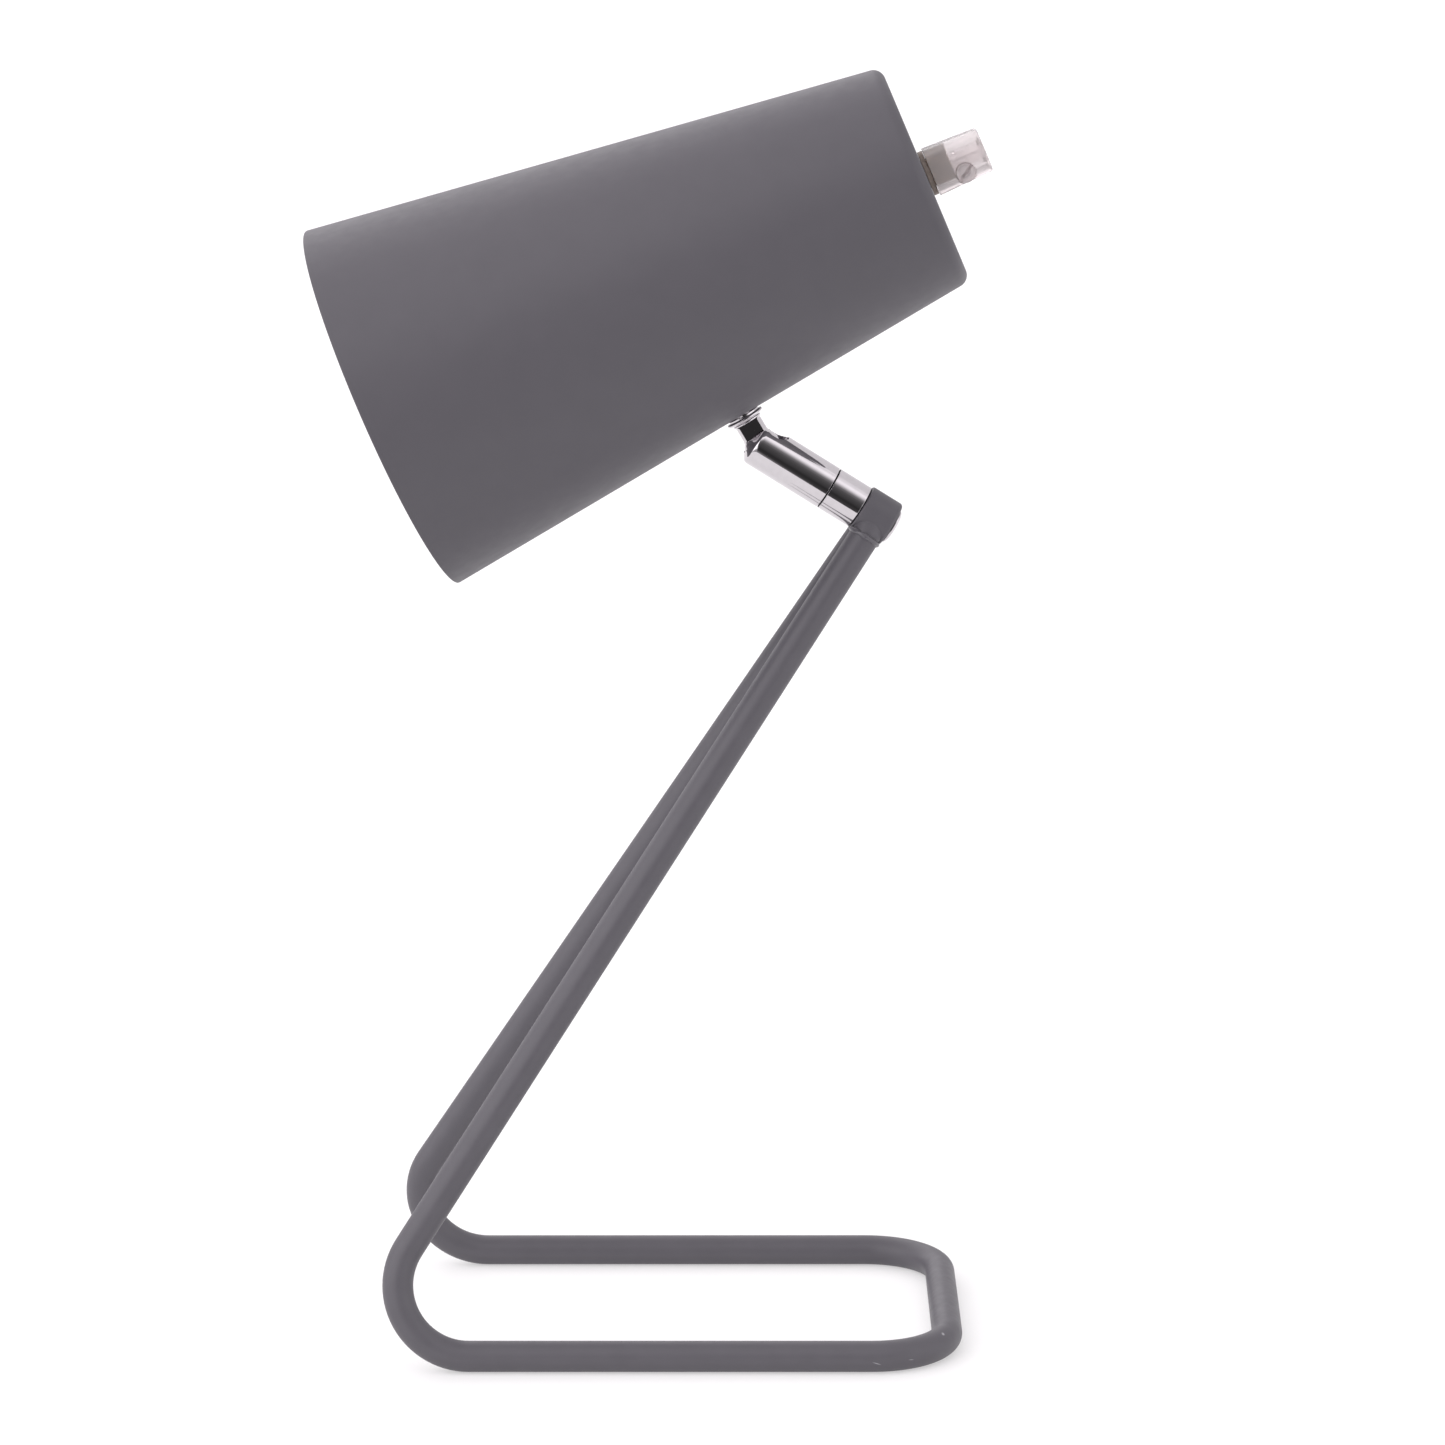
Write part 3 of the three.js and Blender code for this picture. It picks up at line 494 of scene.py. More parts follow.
def resmoothed(piece, sharp):
    """Shades a cut piece smooth again, and keeps its edges above that angle in degrees sharp."""
    piece.data.shade_smooth()
    piece.data.set_sharp_from_angle(angle=math.radians(sharp))


def softened(piece, width, angle):
    """Bevels the edges above that angle in degrees by that width in millimetres."""
    edge = piece.modifiers.new("edges", "BEVEL")
    edge.width = width * MM
    edge.segments = 2
    edge.limit_method = "ANGLE"
    edge.angle_limit = math.radians(angle)
    edge.harden_normals = True


def published(piece, body, slot, *nodes):
    """Makes a piece ride on a body and hides the CAD nodes that it stands for. The slot is not used."""
    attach(piece, body)
    if nodes:
        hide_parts(*nodes)
    return piece


def box_object(size, place):
    """A plain block for cutting, centred on place."""
    x, y, z = (s / 2 for s in size)
    corners = [(i, j, k) for k in (-z, z) for j in (-y, y) for i in (-x, x)]
    faces = [(0, 2, 3, 1), (4, 5, 7, 6), (0, 1, 5, 4), (2, 6, 7, 3), (0, 4, 6, 2), (1, 3, 7, 5)]
    return mesh_object("block", corners, faces, place, steel)


def rod_object(radius, start, end, place, sides=64):
    """A plain round rod for cutting, along +Z of place."""
    return turned("rod", [(0, start), (radius, start), (radius, end), (0, end)], place, steel, sides)


def off_flat(angle):
    """How far an angle is from the middle of a hexagon's nearest side."""
    return (angle + math.pi / 6) % (math.pi / 3) - math.pi / 6


def hexagonal(across_flats):
    """A shape that keeps a piece inside a hexagon."""

    def clipped(angle, r, z):
        return min(r, across_flats / 2 / math.cos(off_flat(angle)))

    return clipped


THREAD_PITCH = 1.0  # of the stud and the nipple


def threaded(start, end, crest, depth, edge):
    """The zigzag of a thread along a profile, from start up to end."""
    made = []
    for k in range(int((end - start) / THREAD_PITCH)):
        made.append((crest, start + k * THREAD_PITCH, edge))
        made.append((crest - depth, start + (k + 0.5) * THREAD_PITCH, edge))
    return made


# ---------------- stand


def rounded_corner(before, corner, after, radius, steps):
    """The stations of a rounded corner between two straight runs."""
    to_before, to_after = (before - corner).normalized(), (after - corner).normalized()
    half = to_before.angle(to_after) / 2
    centre = corner + (to_before + to_after).normalized() * radius / math.sin(half)
    spoke = corner + to_before * radius / math.tan(half) - centre
    axis = to_after.cross(to_before).normalized()
    sweep = math.pi - 2 * half
    return [centre + Matrix.Rotation(sweep * i / steps, 3, axis) @ spoke for i in range(steps + 1)]


cross_bar_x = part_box("frame_rod")[1].x / MM - ROD_R
leg_top_x = LEG_FOOT_X + LEG_LENGTH * math.cos(LEG_RISE)
leg_top_z = ROD_R + LEG_LENGTH * math.sin(LEG_RISE)
cope_r = COLLAR_R - 0.2  # the legs end this far from the collar's axis, just inside its skin
to_knuckle = KNUCKLE.inverted()


def leg_stations(side):
    """The path of one leg and its half of the base, from the leg's top to the cross bar."""
    leg_top = Vector((leg_top_x, side * LEG_TOP_Y, leg_top_z))
    foot = Vector((LEG_FOOT_X, side * BASE_HALF_WIDTH, ROD_R))
    corner = Vector((cross_bar_x, side * BASE_HALF_WIDTH, ROD_R))
    middle = Vector((cross_bar_x, 0, ROD_R))
    bend = rounded_corner(leg_top, foot, corner, LEG_BEND_R, 30)
    base = rounded_corner(foot, corner, middle, BASE_CORNER_R, 24)
    return [leg_top, *bend, *base]


def coped(index, spot, way):
    """Moves the end of a rail of the rod back to the collar's surface, where it would go through."""
    way = way if index else -way
    p = to_knuckle @ (spot * MM) / MM
    d = to_knuckle.to_3x3() @ way
    a, b, c = d.x**2 + d.y**2, p.x * d.x + p.y * d.y, p.x**2 + p.y**2 - cope_r**2
    inside = b * b - a * c
    reach = (-b - math.sqrt(inside)) / a if inside > 0 else 0.0
    return spot + way * min(reach, 0.0)


right = leg_stations(-1)
left = leg_stations(1)
rod_path = right + [Vector((cross_bar_x, 0, ROD_R))] + left[::-1]
rod_piece = swept("bent_rod", rod_path, ROD_R, STAND, rod_coat, 48, coped)
published(rod_piece, "stand", "powder_coat", "frame_rod")


def leg_end(side):
    """Where a leg ends, and which way it points there."""
    leg_top = Vector((leg_top_x, side * LEG_TOP_Y, leg_top_z))
    foot = Vector((LEG_FOOT_X, side * BASE_HALF_WIDTH, ROD_R))
    return leg_top, (leg_top - foot).normalized()


BEAD_R = 0.85
BEAD_WAVES = ((0.7, 0.25), (2.1, 0.12))  # how fast and how far the bead's radius wanders
BEAD_INSET = 0.25


def weld_bead(side):
    """A bead laid where a leg meets the collar, as a closed tube of uneven width."""
    leg_top, way = leg_end(side)
    across = way.orthogonal().normalized()
    other = way.cross(across)
    count = 72
    rim = []
    for i in range(count):
        angle = 2 * math.pi * i / count
        spoke = across * math.cos(angle) + other * math.sin(angle)
        rim.append(coped(1, leg_top + spoke * (ROD_R - BEAD_INSET), way))

    def bead_r(i):
        radius = BEAD_R
        for pace, reach in BEAD_WAVES:
            radius += reach * noise.noise(rim[i] * pace)
        return radius

    return swept(f"bead_{side}", rim, bead_r, STAND, weld_coat, 16, closed=True)


# Past the leg's end: how far, half the width along the collar, half the depth across it.
FILL = [(-0.9, 4.4, 4.4), (0.4, 4.6, 4.5), (1.6, 4.95, 4.4), (3.5, 5.2, 3.9), (6.5, 5.25, 2.9)]


def weld_fill(side):
    """Weld metal that levels the end of a leg with the collar's side."""
    leg_top, way = leg_end(side)
    along_collar = (knuckle_axis - way * knuckle_axis.dot(way)).normalized()
    outward = way.cross(along_collar)
    sides = 40
    vertices, rows = [], []
    for distance, half_width, half_depth in FILL:
        rows.append(list(range(len(vertices), len(vertices) + sides)))
        for k in range(sides):
            angle = 2 * math.pi * k / sides
            spoke = along_collar * half_width * math.cos(angle)
            spoke += outward * half_depth * math.sin(angle)
            vertices.append(leg_top + way * distance + spoke)
    faces = grid_faces(rows, sides, False) + [list(reversed(rows[0])), rows[-1]]
    return mesh_object(f"fill_{side}", vertices, faces, STAND, rod_coat)


bead = weld_bead(-1)
cut(bead, weld_bead(1), operation="UNION")
bead.data.shade_smooth()
bead.name = "weld_bead"
published(bead, "stand", "powder_coat")
weld = weld_fill(-1)
cut(weld, weld_fill(1), operation="UNION")
remesh = weld.modifiers.new("cast", "REMESH")
remesh.mode = "VOXEL"
remesh.voxel_size = 0.25 * MM
remesh.use_smooth_shade = True
flow = weld.modifiers.new("flow", "SMOOTH")
flow.iterations = 2
applied(weld)
weld.name = "weld_fill"
published(weld, "stand", "powder_coat")

collar_end = COLLAR_LENGTH / 2
collar = turned(
    "collar_ring",
    [
        (SCREW_R + GAP, -collar_end, 0.3),
        (COLLAR_R, -collar_end, 1.1),
        (COLLAR_R, collar_end, 0.6),
        (SCREW_R + GAP, collar_end, 0.3),
    ],
    KNUCKLE,
    rod_coat,
    128,
)
published(collar, "stand", "powder_coat", "collar")

SOCKET_DEPTH = 1.7
screw_seat = -collar_end - GAP
socket_r = HEX_SOCKET / 2
screw_top = screw_seat - SCREW_HEAD_HEIGHT


def hex_socket(angle, r, z):
    """Widens what lies inside the socket to a hexagon."""
    if r > socket_r + 0.05 or z > screw_seat + 0.6 or r < 0.5:
        return r
    return r / math.cos(off_flat(angle))


dome = [(2.7, screw_top, 0.3), (4.2, screw_top + 0.2, 1.2), (5.2, screw_top + 0.55, 0.8)]
screw = turned(
    "swivel_screw_fine",
    [
        (0, screw_top + SOCKET_DEPTH),
        (socket_r, screw_top + SOCKET_DEPTH, 0.05),
        (socket_r, screw_top + 0.25, 0.05),
        (socket_r + 0.4, screw_top, 0.05),
        *dome,
        (SCREW_HEAD_R, screw_top + 0.95, 0.25),
        (SCREW_HEAD_R, screw_seat, 0.1),
        (SCREW_R, screw_seat, 0.1),
        (SCREW_R, SCREW_END - 0.5),
        (SCREW_R - 0.5, SCREW_END),
        (0, SCREW_END),
    ],
    KNUCKLE,
    chrome,
    96,
    hex_socket,
)
published(screw, "stand", "chrome", "swivel_screw")

SEAM_HALF_WIDTH = 0.25
PIVOT_TAIL_HEIGHT = 1.1
LAND_R = 6  # the land that the barrel turns on, deep in the seam, painted near-black as shade
pivot_tail = SCREW_END + GAP
pivot_shoulder = pivot_tail + PIVOT_TAIL_HEIGHT + GAP
base_start = collar_end + GAP
base_end = SEAM - SEAM_HALF_WIDTH
barrel_start = SEAM + SEAM_HALF_WIDTH
land_end = barrel_start - 0.06
knuckle_base = turned(
    "knuckle_base_fine",
    [
        (SCREW_R + GAP, base_start),
        (KNUCKLE_R, base_start, 0.25),
        (KNUCKLE_R, base_end, 0.06),
        (LAND_R, base_end, 0.05),
        (LAND_R, land_end, 0.05),
        (PIVOT_R + GAP, land_end),
        (PIVOT_R + GAP, pivot_shoulder),
        (SCREW_R + GAP, pivot_shoulder),
    ],
    KNUCKLE,
    chrome,
    160,
)


def paint_seam_shade(piece):
    """Paints the faces inside the seam near-black: painted shade in the seam's groove."""
    piece.data.materials.append(seam_shade_paint.material)
    for face in piece.data.polygons:
        x, y, z = to_knuckle @ face.center / MM
        inside = math.hypot(x, y) < KNUCKLE_R - 0.05
        face.material_index = int(inside and abs(z - SEAM) < SEAM_HALF_WIDTH + 0.01)


paint_seam_shade(knuckle_base)
published(knuckle_base, "stand", "chrome", "knuckle_base")

# ---------------- knuckle

barrel_floor = SEAM + GAP / 2 + BARREL_FLOOR
mouth_inside = math.sqrt(SOCKET_R**2 - MOUTH_R**2)
mouth_angle = math.degrees(math.asin(mouth_inside / SOCKET_R))
nose_end = BALL_FROM_COLLAR + NOSE_PAST_BALL
# The nose's curve, as radius and distance past the ball's centre.
nose = [(KNUCKLE_R, 1.3), (7.22, 2.1), (7.04, 2.7), (6.6, 3.12), (6.0, 3.52), (5.4, 3.9)]
barrel = turned(
    "knuckle_barrel_fine",
    [
        (PIVOT_R + GAP, barrel_start),
        (KNUCKLE_R, barrel_start, 0.06),
        *[(r, BALL_FROM_COLLAR + z, SMOOTH) for r, z in nose],
        (5, nose_end - 0.3, 0.1),
        (MOUTH_R, nose_end - 0.22, 0.05),
        *arc(0, BALL_FROM_COLLAR, SOCKET_R, mouth_angle, 0, 12),
        (SOCKET_R, barrel_floor, 0.3),
        (PIVOT_R + GAP, barrel_floor),
    ],
    KNUCKLE,
    chrome,
    160,
)
slot_end = BALL_FROM_COLLAR - SLOT_PAST_BALL + SLOT_HALF_WIDTH
across_knuckle = Matrix.Rotation(math.pi / 2, 4, "Y")
slot_place = KNUCKLE @ Matrix.Translation((0, 0, slot_end * MM)) @ across_knuckle
slot_round = rod_object(SLOT_HALF_WIDTH, 0, 2 * KNUCKLE_R, slot_place, 96)
slot_length = 2 * SLOT_PAST_BALL
slot_box = box_object(
    (2 * KNUCKLE_R, 2 * SLOT_HALF_WIDTH, slot_length),
    KNUCKLE @ Matrix.Translation((KNUCKLE_R * MM, 0, (slot_end + slot_length / 2) * MM)),
)
cut(barrel, slot_box, slot_round)
resmoothed(barrel, 30)
paint_seam_shade(barrel)
softened(barrel, 0.14, 35)
published(barrel, "knuckle", "chrome", "knuckle_barrel")

# ---------------- ball

neck_meets_ball = math.degrees(math.acos(NECK_R / BALL_R))
ball_stud = turned(
    "ball_stud_fine",
    [
        (0, -BALL_R),
        *arc(0, 0, BALL_R, -84, neck_meets_ball - 3, 26),
        (NECK_R, 4.6, 0.4),
        (NECK_R, NECK_END - 1, 0.8),
        (NECK_LIP_R, NECK_END - 0.4, 0.3),
        (NECK_LIP_R, NECK_END, 0.12),
        (STUD_R, NECK_END, 0.1),
        *threaded(STANDOFF + 1, STUD_END - 1, STUD_R, 0.45, 0.08),
        (STUD_R, STUD_END - 0.6),
        (STUD_R - 0.6, STUD_END),
        (0, STUD_END),
    ],
    BALL,
    chrome,
    128,
)
flat_start, flat_end = 4.3, NECK_END - 0.45
flat_depth = 4
for side in (-1, 1):
    flat_y = side * (NECK_FLATS + flat_depth) / 2
    flat_place = BALL @ Matrix.Translation((0, flat_y * MM, (flat_start + flat_end) / 2 * MM))
    cut(ball_stud, box_object((4 * NECK_R, flat_depth, flat_end - flat_start), flat_place))
resmoothed(ball_stud, 28)
published(ball_stud, "ball", "chrome", "ball_stud")

# ---------------- shade and its fixings

slope = (SHADE_MOUTH_R - SHADE_SMALL_R) / SHADE_LENGTH
cone = math.atan(slope)
edge_centre = SHADE_SMALL_R - SHADE_EDGE_R * math.tan(math.pi / 4 - cone / 2)
wall_across = SHADE_WALL / math.cos(cone)
cone_degrees = math.degrees(cone)
HOLE_GAP = 0.5  # round the nipple and the stud, where they pass through the sheet
LIP_R = 0.42
STUD_ZONE = 10  # the cone has a ring of points this far on either side of the stud's hole
hole_r = NIPPLE_R + HOLE_GAP


def cone_r(z, inside=False):
    """The cone's radius at a distance from the small end."""
    return SHADE_SMALL_R + z * slope - (wall_across if inside else 0)


near_stud = [STUD_FROM_SMALL_END + k * STUD_ZONE for k in (-1, 1)]
shade = turned(
    "shade",
    [
        (hole_r, 0, 0.2),
        *arc(edge_centre, SHADE_EDGE_R, SHADE_EDGE_R, -90, -cone_degrees, 14),
        *[(cone_r(z), z, SMOOTH) for z in near_stud],
        (cone_r(SHADE_LENGTH), SHADE_LENGTH, LIP_R),
        (cone_r(SHADE_LENGTH, True), SHADE_LENGTH, LIP_R),
        *[(cone_r(z, True), z, SMOOTH) for z in reversed(near_stud)],
        *arc(edge_centre, SHADE_EDGE_R, SHADE_EDGE_R - SHADE_WALL, -cone_degrees, -90, 10),
        (hole_r, SHADE_WALL, 0.2),
    ],
    SHADE,
    shade_coat,
    224,
)
shade.data.materials.append(enamel.material)
to_shade = SHADE.inverted()
for face in shade.data.polygons:
    x, y, z = to_shade @ face.center / MM
    facing = to_shade.to_3x3() @ face.normal
    behind_wall = math.hypot(x, y) < cone_r(z) - 0.6 * wall_across
    inner_wall = behind_wall and facing.dot(Vector((x, y, 0)).normalized()) < -0.5
    inner_end = 0.6 < z < SHADE_EDGE_R and facing.z > 0.3
    face.material_index = int(inner_wall or inner_end)
cut(shade, rod_object(STUD_R + HOLE_GAP, 0, 2 * STANDOFF, BALL))


def shade_normals(mesh):
    """Gives the cone's own normals back to the faces that the stud's hole has cut."""
    out, up = math.cos(cone), -math.sin(cone)
    made = []
    corner_normals = [Vector(n.vector) for n in mesh.corner_normals]
    for face in mesh.polygons:
        for corner in face.loop_indices:
            spot = to_shade @ mesh.vertices[mesh.loops[corner].vertex_index].co
            away = Vector((spot.x, spot.y, 0)).normalized()
            outward = SHADE.to_3x3() @ Vector((away.x * out, away.y * out, up))
            facing = face.normal.dot(outward)
            if abs(facing) > 0.995 and spot.z > SHADE_EDGE_R * MM:
                made.append(outward * math.copysign(1, facing))
            else:
                made.append(corner_normals[corner])
    mesh.normals_split_custom_set(made)


resmoothed(shade, 30)
shade_normals(shade.data)
published(shade, "shade", "shade_coat", "shade_shell")

SADDLE_GAP = 0.12  # kept above and below the saddle washer
saddle_start = NECK_END + SADDLE_GAP
saddle_end = STANDOFF - SADDLE_GAP
saddle = turned(
    "saddle_washer_fine",
    [
        (STUD_R + GAP, saddle_start, 0.1),
        (5, saddle_start, 0.5),
        (SADDLE_RIM_R, NECK_END + 0.75, 0.3),
        (SADDLE_RIM_R, NECK_END + 1.35, 0.3),
        (SADDLE_HUB_R, NECK_END + 1.55, 0.15),
        (SADDLE_HUB_R, saddle_end, 0.1),
        (STUD_R + GAP, saddle_end, 0.1),
    ],
    BALL,
    chrome,
    128,
)
published(saddle, "shade", "chrome", "saddle_washer")


def washer(name, node, bore, outer, start, end, place, material=steel):
    """A flat steel washer with rounded outer edges."""
    profile = [(bore, start), (outer, start, 0.25), (outer, end, 0.25), (bore, end)]
    published(turned(name, profile, place, material), "shade", "zinc_steel", node)


def nut(name, node, bore, across_flats, start, end, place, material, slot):
    """A hexagon nut whose corners are chamfered by a cone at both ends."""
    corner = across_flats / math.sqrt(3)
    chamfer = corner - 0.95 * across_flats / 2
    steps = 6
    rise = 0.55 * chamfer
    low = [(bore, start + 0.3), (bore + 0.4, start)]
    high = [(bore, end - 0.3), (bore + 0.4, end)]
    for k in range(steps + 1):
        r = corner - chamfer * (1 - k / steps)
        inset = rise * k / steps
        low.append((r, start + inset, SMOOTH))
        high.append((r, end - inset, SMOOTH))
    piece = turned(name, low + high[::-1], place, material, 144, hexagonal(across_flats))
    published(piece, "shade", slot, node)


stud_bore = STUD_R + GAP
washer_ends = (INNER_WASHER_START, INNER_WASHER_END)
washer("inner_washer_fine", "inner_washer", stud_bore, INNER_WASHER_R, *washer_ends, BALL)
nut_start = INNER_WASHER_END + GAP
nut_ends = (nut_start, nut_start + SHADE_NUT_HEIGHT)
nut("shade_nut_fine", "shade_nut", stud_bore, SHADE_NUT_FLATS, *nut_ends, BALL, steel, "zinc_steel")

# ---------------- cord grip and nipple

GRIP_END_R = 0.9
GRIP_START_R = 0.3
THREAD_BITE = 0.5  # the nipple's thread is cut this deep into the nylon


def grip_block():
    """A block with rounded edges and a little draft, as loops of a rounded square."""
    arc_steps = 5
    angles = [math.pi / 2 * k / arc_steps for k in range(arc_steps + 1)]
    loops = []
    for a in angles:
        loops.append((GRIP_END + GRIP_END_R * (1 - math.cos(a)), GRIP_END_R * (1 - math.sin(a))))
    for a in angles:
        loops.append((GRIP_START - GRIP_START_R * (1 - math.sin(a)), GRIP_START_R * (1 - math.cos(a))))
    vertices, rows = [], []
    corner_steps = 8
    for z, inset in loops:
        share = (z - GRIP_END) / (GRIP_START - GRIP_END)
        half = GRIP_OUTER_HALF + (GRIP_INNER_HALF - GRIP_OUTER_HALF) * share - inset
        radius = GRIP_EDGE_R * half / GRIP_INNER_HALF
        flat = half - radius
        row = []
        for sx, sy, start in ((1, 1, 0), (-1, 1, 90), (-1, -1, 180), (1, -1, 270)):
            for k in range(corner_steps + 1):
                angle = math.radians(start + 90 * k / corner_steps)
                row.append(len(vertices))
                x, y = sx * flat + radius * math.cos(angle), sy * flat + radius * math.sin(angle)
                vertices.append((x, y, z))
        rows.append(row)
    faces = grid_faces(rows, len(rows[0]), False) + [list(reversed(rows[0])), rows[-1]]
    return mesh_object("cord_grip_fine", vertices, faces, SHADE, nylon, sharp=50)


clamp_place = SHADE @ Matrix.Translation((CLAMP_SCREW_X * MM, 0, CLAMP_SCREW_Z * MM))
clamp_place = clamp_place @ Matrix.Rotation(math.pi / 2, 4, "X")
thread_root = NIPPLE_R - THREAD_BITE
grip = grip_block()
bore = turned(
    "bore",
    [
        (0, GRIP_END - 1),
        (CORD_HOLE_R + CORD_MOUTH_FLARE + 0.5, GRIP_END - 1),
        (CORD_HOLE_R + CORD_MOUTH_FLARE, GRIP_END),
        (CORD_HOLE_R, GRIP_END + CORD_MOUTH_DEPTH, 0.8),
        (CORD_HOLE_R, NIPPLE_OUTER_END - GAP, 0.05),
        (thread_root, NIPPLE_OUTER_END - GAP, 0.05),
        (thread_root, GRIP_START + 1),
        (0, GRIP_START + 1),
    ],
    SHADE,
    steel,
    72,
)
screw_bore = turned(
    "screw_bore",
    [
        (0, CLAMP_TIP - 1.5),
        (CLAMP_SHANK_R + GAP, CLAMP_TIP - 1.5),
        (CLAMP_SHANK_R + GAP, CLAMP_HEAD_START - GAP),
        (CLAMP_HEAD_R + GAP, CLAMP_HEAD_START - GAP),
        (CLAMP_HEAD_R + GAP, CLAMP_HEAD_END + 5),
        (0, CLAMP_HEAD_END + 5),
    ],
    clamp_place,
    steel,
    72,
)
cut(grip, bore, screw_bore)
resmoothed(grip, 40)
weights = grip.modifiers.new("flats", "WEIGHTED_NORMAL")
weights.keep_sharp = True
published(grip, "shade", "clear_nylon", "cord_grip")

clamp = turned(
    "clamp_screw_fine",
    [
        (0, CLAMP_TIP),
        (CLAMP_SHANK_R - 0.4, CLAMP_TIP, 0.1),
        (CLAMP_SHANK_R, CLAMP_TIP + 0.5, 0.1),
        (CLAMP_SHANK_R, CLAMP_HEAD_START, 0.15),
        (CLAMP_HEAD_R, CLAMP_HEAD_START, 0.2),
        (CLAMP_HEAD_R, CLAMP_HEAD_END, 0.45),
        (0, CLAMP_HEAD_END),
    ],
    clamp_place,
    nylon,
    72,
)
CLAMP_SLOT_TURN = math.radians(-58)
CLAMP_SLOT_WIDTH = 1.0
CLAMP_SLOT_DEPTH = 0.8
block_height = 2
block_z = CLAMP_HEAD_END - CLAMP_SLOT_DEPTH + block_height / 2
clamp_slot = clamp_place @ Matrix.Translation((0, 0, block_z * MM))
clamp_slot = clamp_slot @ Matrix.Rotation(CLAMP_SLOT_TURN, 4, "Z")
cut(clamp, box_object((3 * CLAMP_HEAD_R, CLAMP_SLOT_WIDTH, block_height), clamp_slot))
resmoothed(clamp, 35)
published(clamp, "shade", "clear_nylon", "clamp_screw")

# The nipple takes the brass darkened as painted shade.
nipple = turned(
    "nipple_fine",
    [
        (NIPPLE_BORE_R, NIPPLE_OUTER_END, 0.2),
        (NIPPLE_R - 0.3, NIPPLE_OUTER_END, 0.1),
        *threaded(NIPPLE_OUTER_END + 0.4, NIPPLE_INNER_END - 0.4, NIPPLE_R, 0.4, 0.06),
        (NIPPLE_R - 0.3, NIPPLE_INNER_END, 0.1),
        (NIPPLE_BORE_R, NIPPLE_INNER_END, 0.2),
    ],
    SHADE,
    nipple_painted_shade,
    72,
)
published(nipple, "shade", "brass", "nipple")
nipple_bore = NIPPLE_R + GAP
END_WASHER_R = 7.4
END_WASHER_GAP = 0.08  # kept on both sides of the end washer
end_washer_ends = (GRIP_START + END_WASHER_GAP, -END_WASHER_GAP)
# The end washer takes the dark brown of painted shade.
washer("end_washer_fine", "end_washer", nipple_bore, END_WASHER_R, *end_washer_ends, SHADE, washer_painted_shade)
lock_washer_ends = (SHADE_WALL + GAP, LOCK_WASHER_END)
washer("lock_washer_fine", "nipple_lock_washer", nipple_bore, LOCK_WASHER_R, *lock_washer_ends, SHADE)
nut_ends = (LOCK_WASHER_END + GAP, HOLDER_START - GAP)
nut("nipple_nut_fine", "nipple_nut", nipple_bore, NIPPLE_NUT_FLATS, *nut_ends, SHADE, brass, "brass")

# ---------------- lampholder

RIBS = 44
RIB_DEPTH = 0.35
RIBS_START = HOLDER_START + 11
RIBS_END = HOLDER_JOIN - 1.5


def ribbed(angle, r, z):
    """Shallow upright ribs round the outside of the holder's cap."""
    if r < HOLDER_R - 0.4 or not RIBS_START < z < RIBS_END:
        return r
    return r - RIB_DEPTH * (0.5 - 0.5 * math.cos(RIBS * angle)) ** 2


cap_inner_r = HOLDER_R - 1.7
rib_rings = [(HOLDER_R, RIBS_START + 0.2 + 0.9 * k, SMOOTH) for k in range(12)]
holder_cap = turned(
    "holder_cap_fine",
    [
        (nipple_bore, HOLDER_START),
        (CAP_NECK_R, HOLDER_START, 0.5),
        (CAP_NECK_R, 9, 0.5),
        (17, 12, 1.5),
        (HOLDER_R, 15, 1),
        *rib_rings,
        (HOLDER_R, HOLDER_JOIN, 0.3),
        (cap_inner_r, HOLDER_JOIN, 0.2),
        (cap_inner_r, 15.6, 0.5),
        (16, 13.8, 0.5),
        (CAP_NECK_R, 11, 0.5),
        (nipple_bore, 11),
    ],
    SHADE,
    black_plastic,
    8 * RIBS,
    ribbed,
)
published(holder_cap, "shade", "black_plastic", "holder_cap")
shoulder = HOLDER_JOIN + GAP
holder_body = turned(
    "holder_body_fine",
    [
        (BODY_INNER_R, 19),
        (cap_inner_r - GAP, 19),
        (cap_inner_r - GAP, shoulder, 0.1),
        (HOLDER_R, shoulder, 0.3),
        (HOLDER_R, shoulder + 1.7, 0.5),
        (HOLDER_R - 1.2, shoulder + 2.7, 0.8),
        (17.2, HOLDER_END - 0.8, 0.5),
        (16.4, HOLDER_END, 0.4),
        (BODY_INNER_R, HOLDER_END, 0.3),
    ],
    SHADE,
    black_plastic,
    128,
)
published(holder_body, "shade", "black_plastic", "holder_body")

# ---------------- bulb

BULB_CAP_WALL = 0.5
CAP_THREAD_PITCH = 3.6
CAP_THREAD_DEPTH = 0.55
CAP_THREAD_START = BULB_CAP_START + 3.2
CAP_THREAD_END = BULB_CAP_END - 5
THREAD_STEP = 0.3


def thread_wave(z):
    """How far the cap's rolled thread dips at z."""
    if not CAP_THREAD_START < z < CAP_THREAD_END:
        return 0.0
    turns = (z - CAP_THREAD_START) / CAP_THREAD_PITCH
    return CAP_THREAD_DEPTH * (0.5 - 0.5 * math.cos(2 * math.pi * turns))


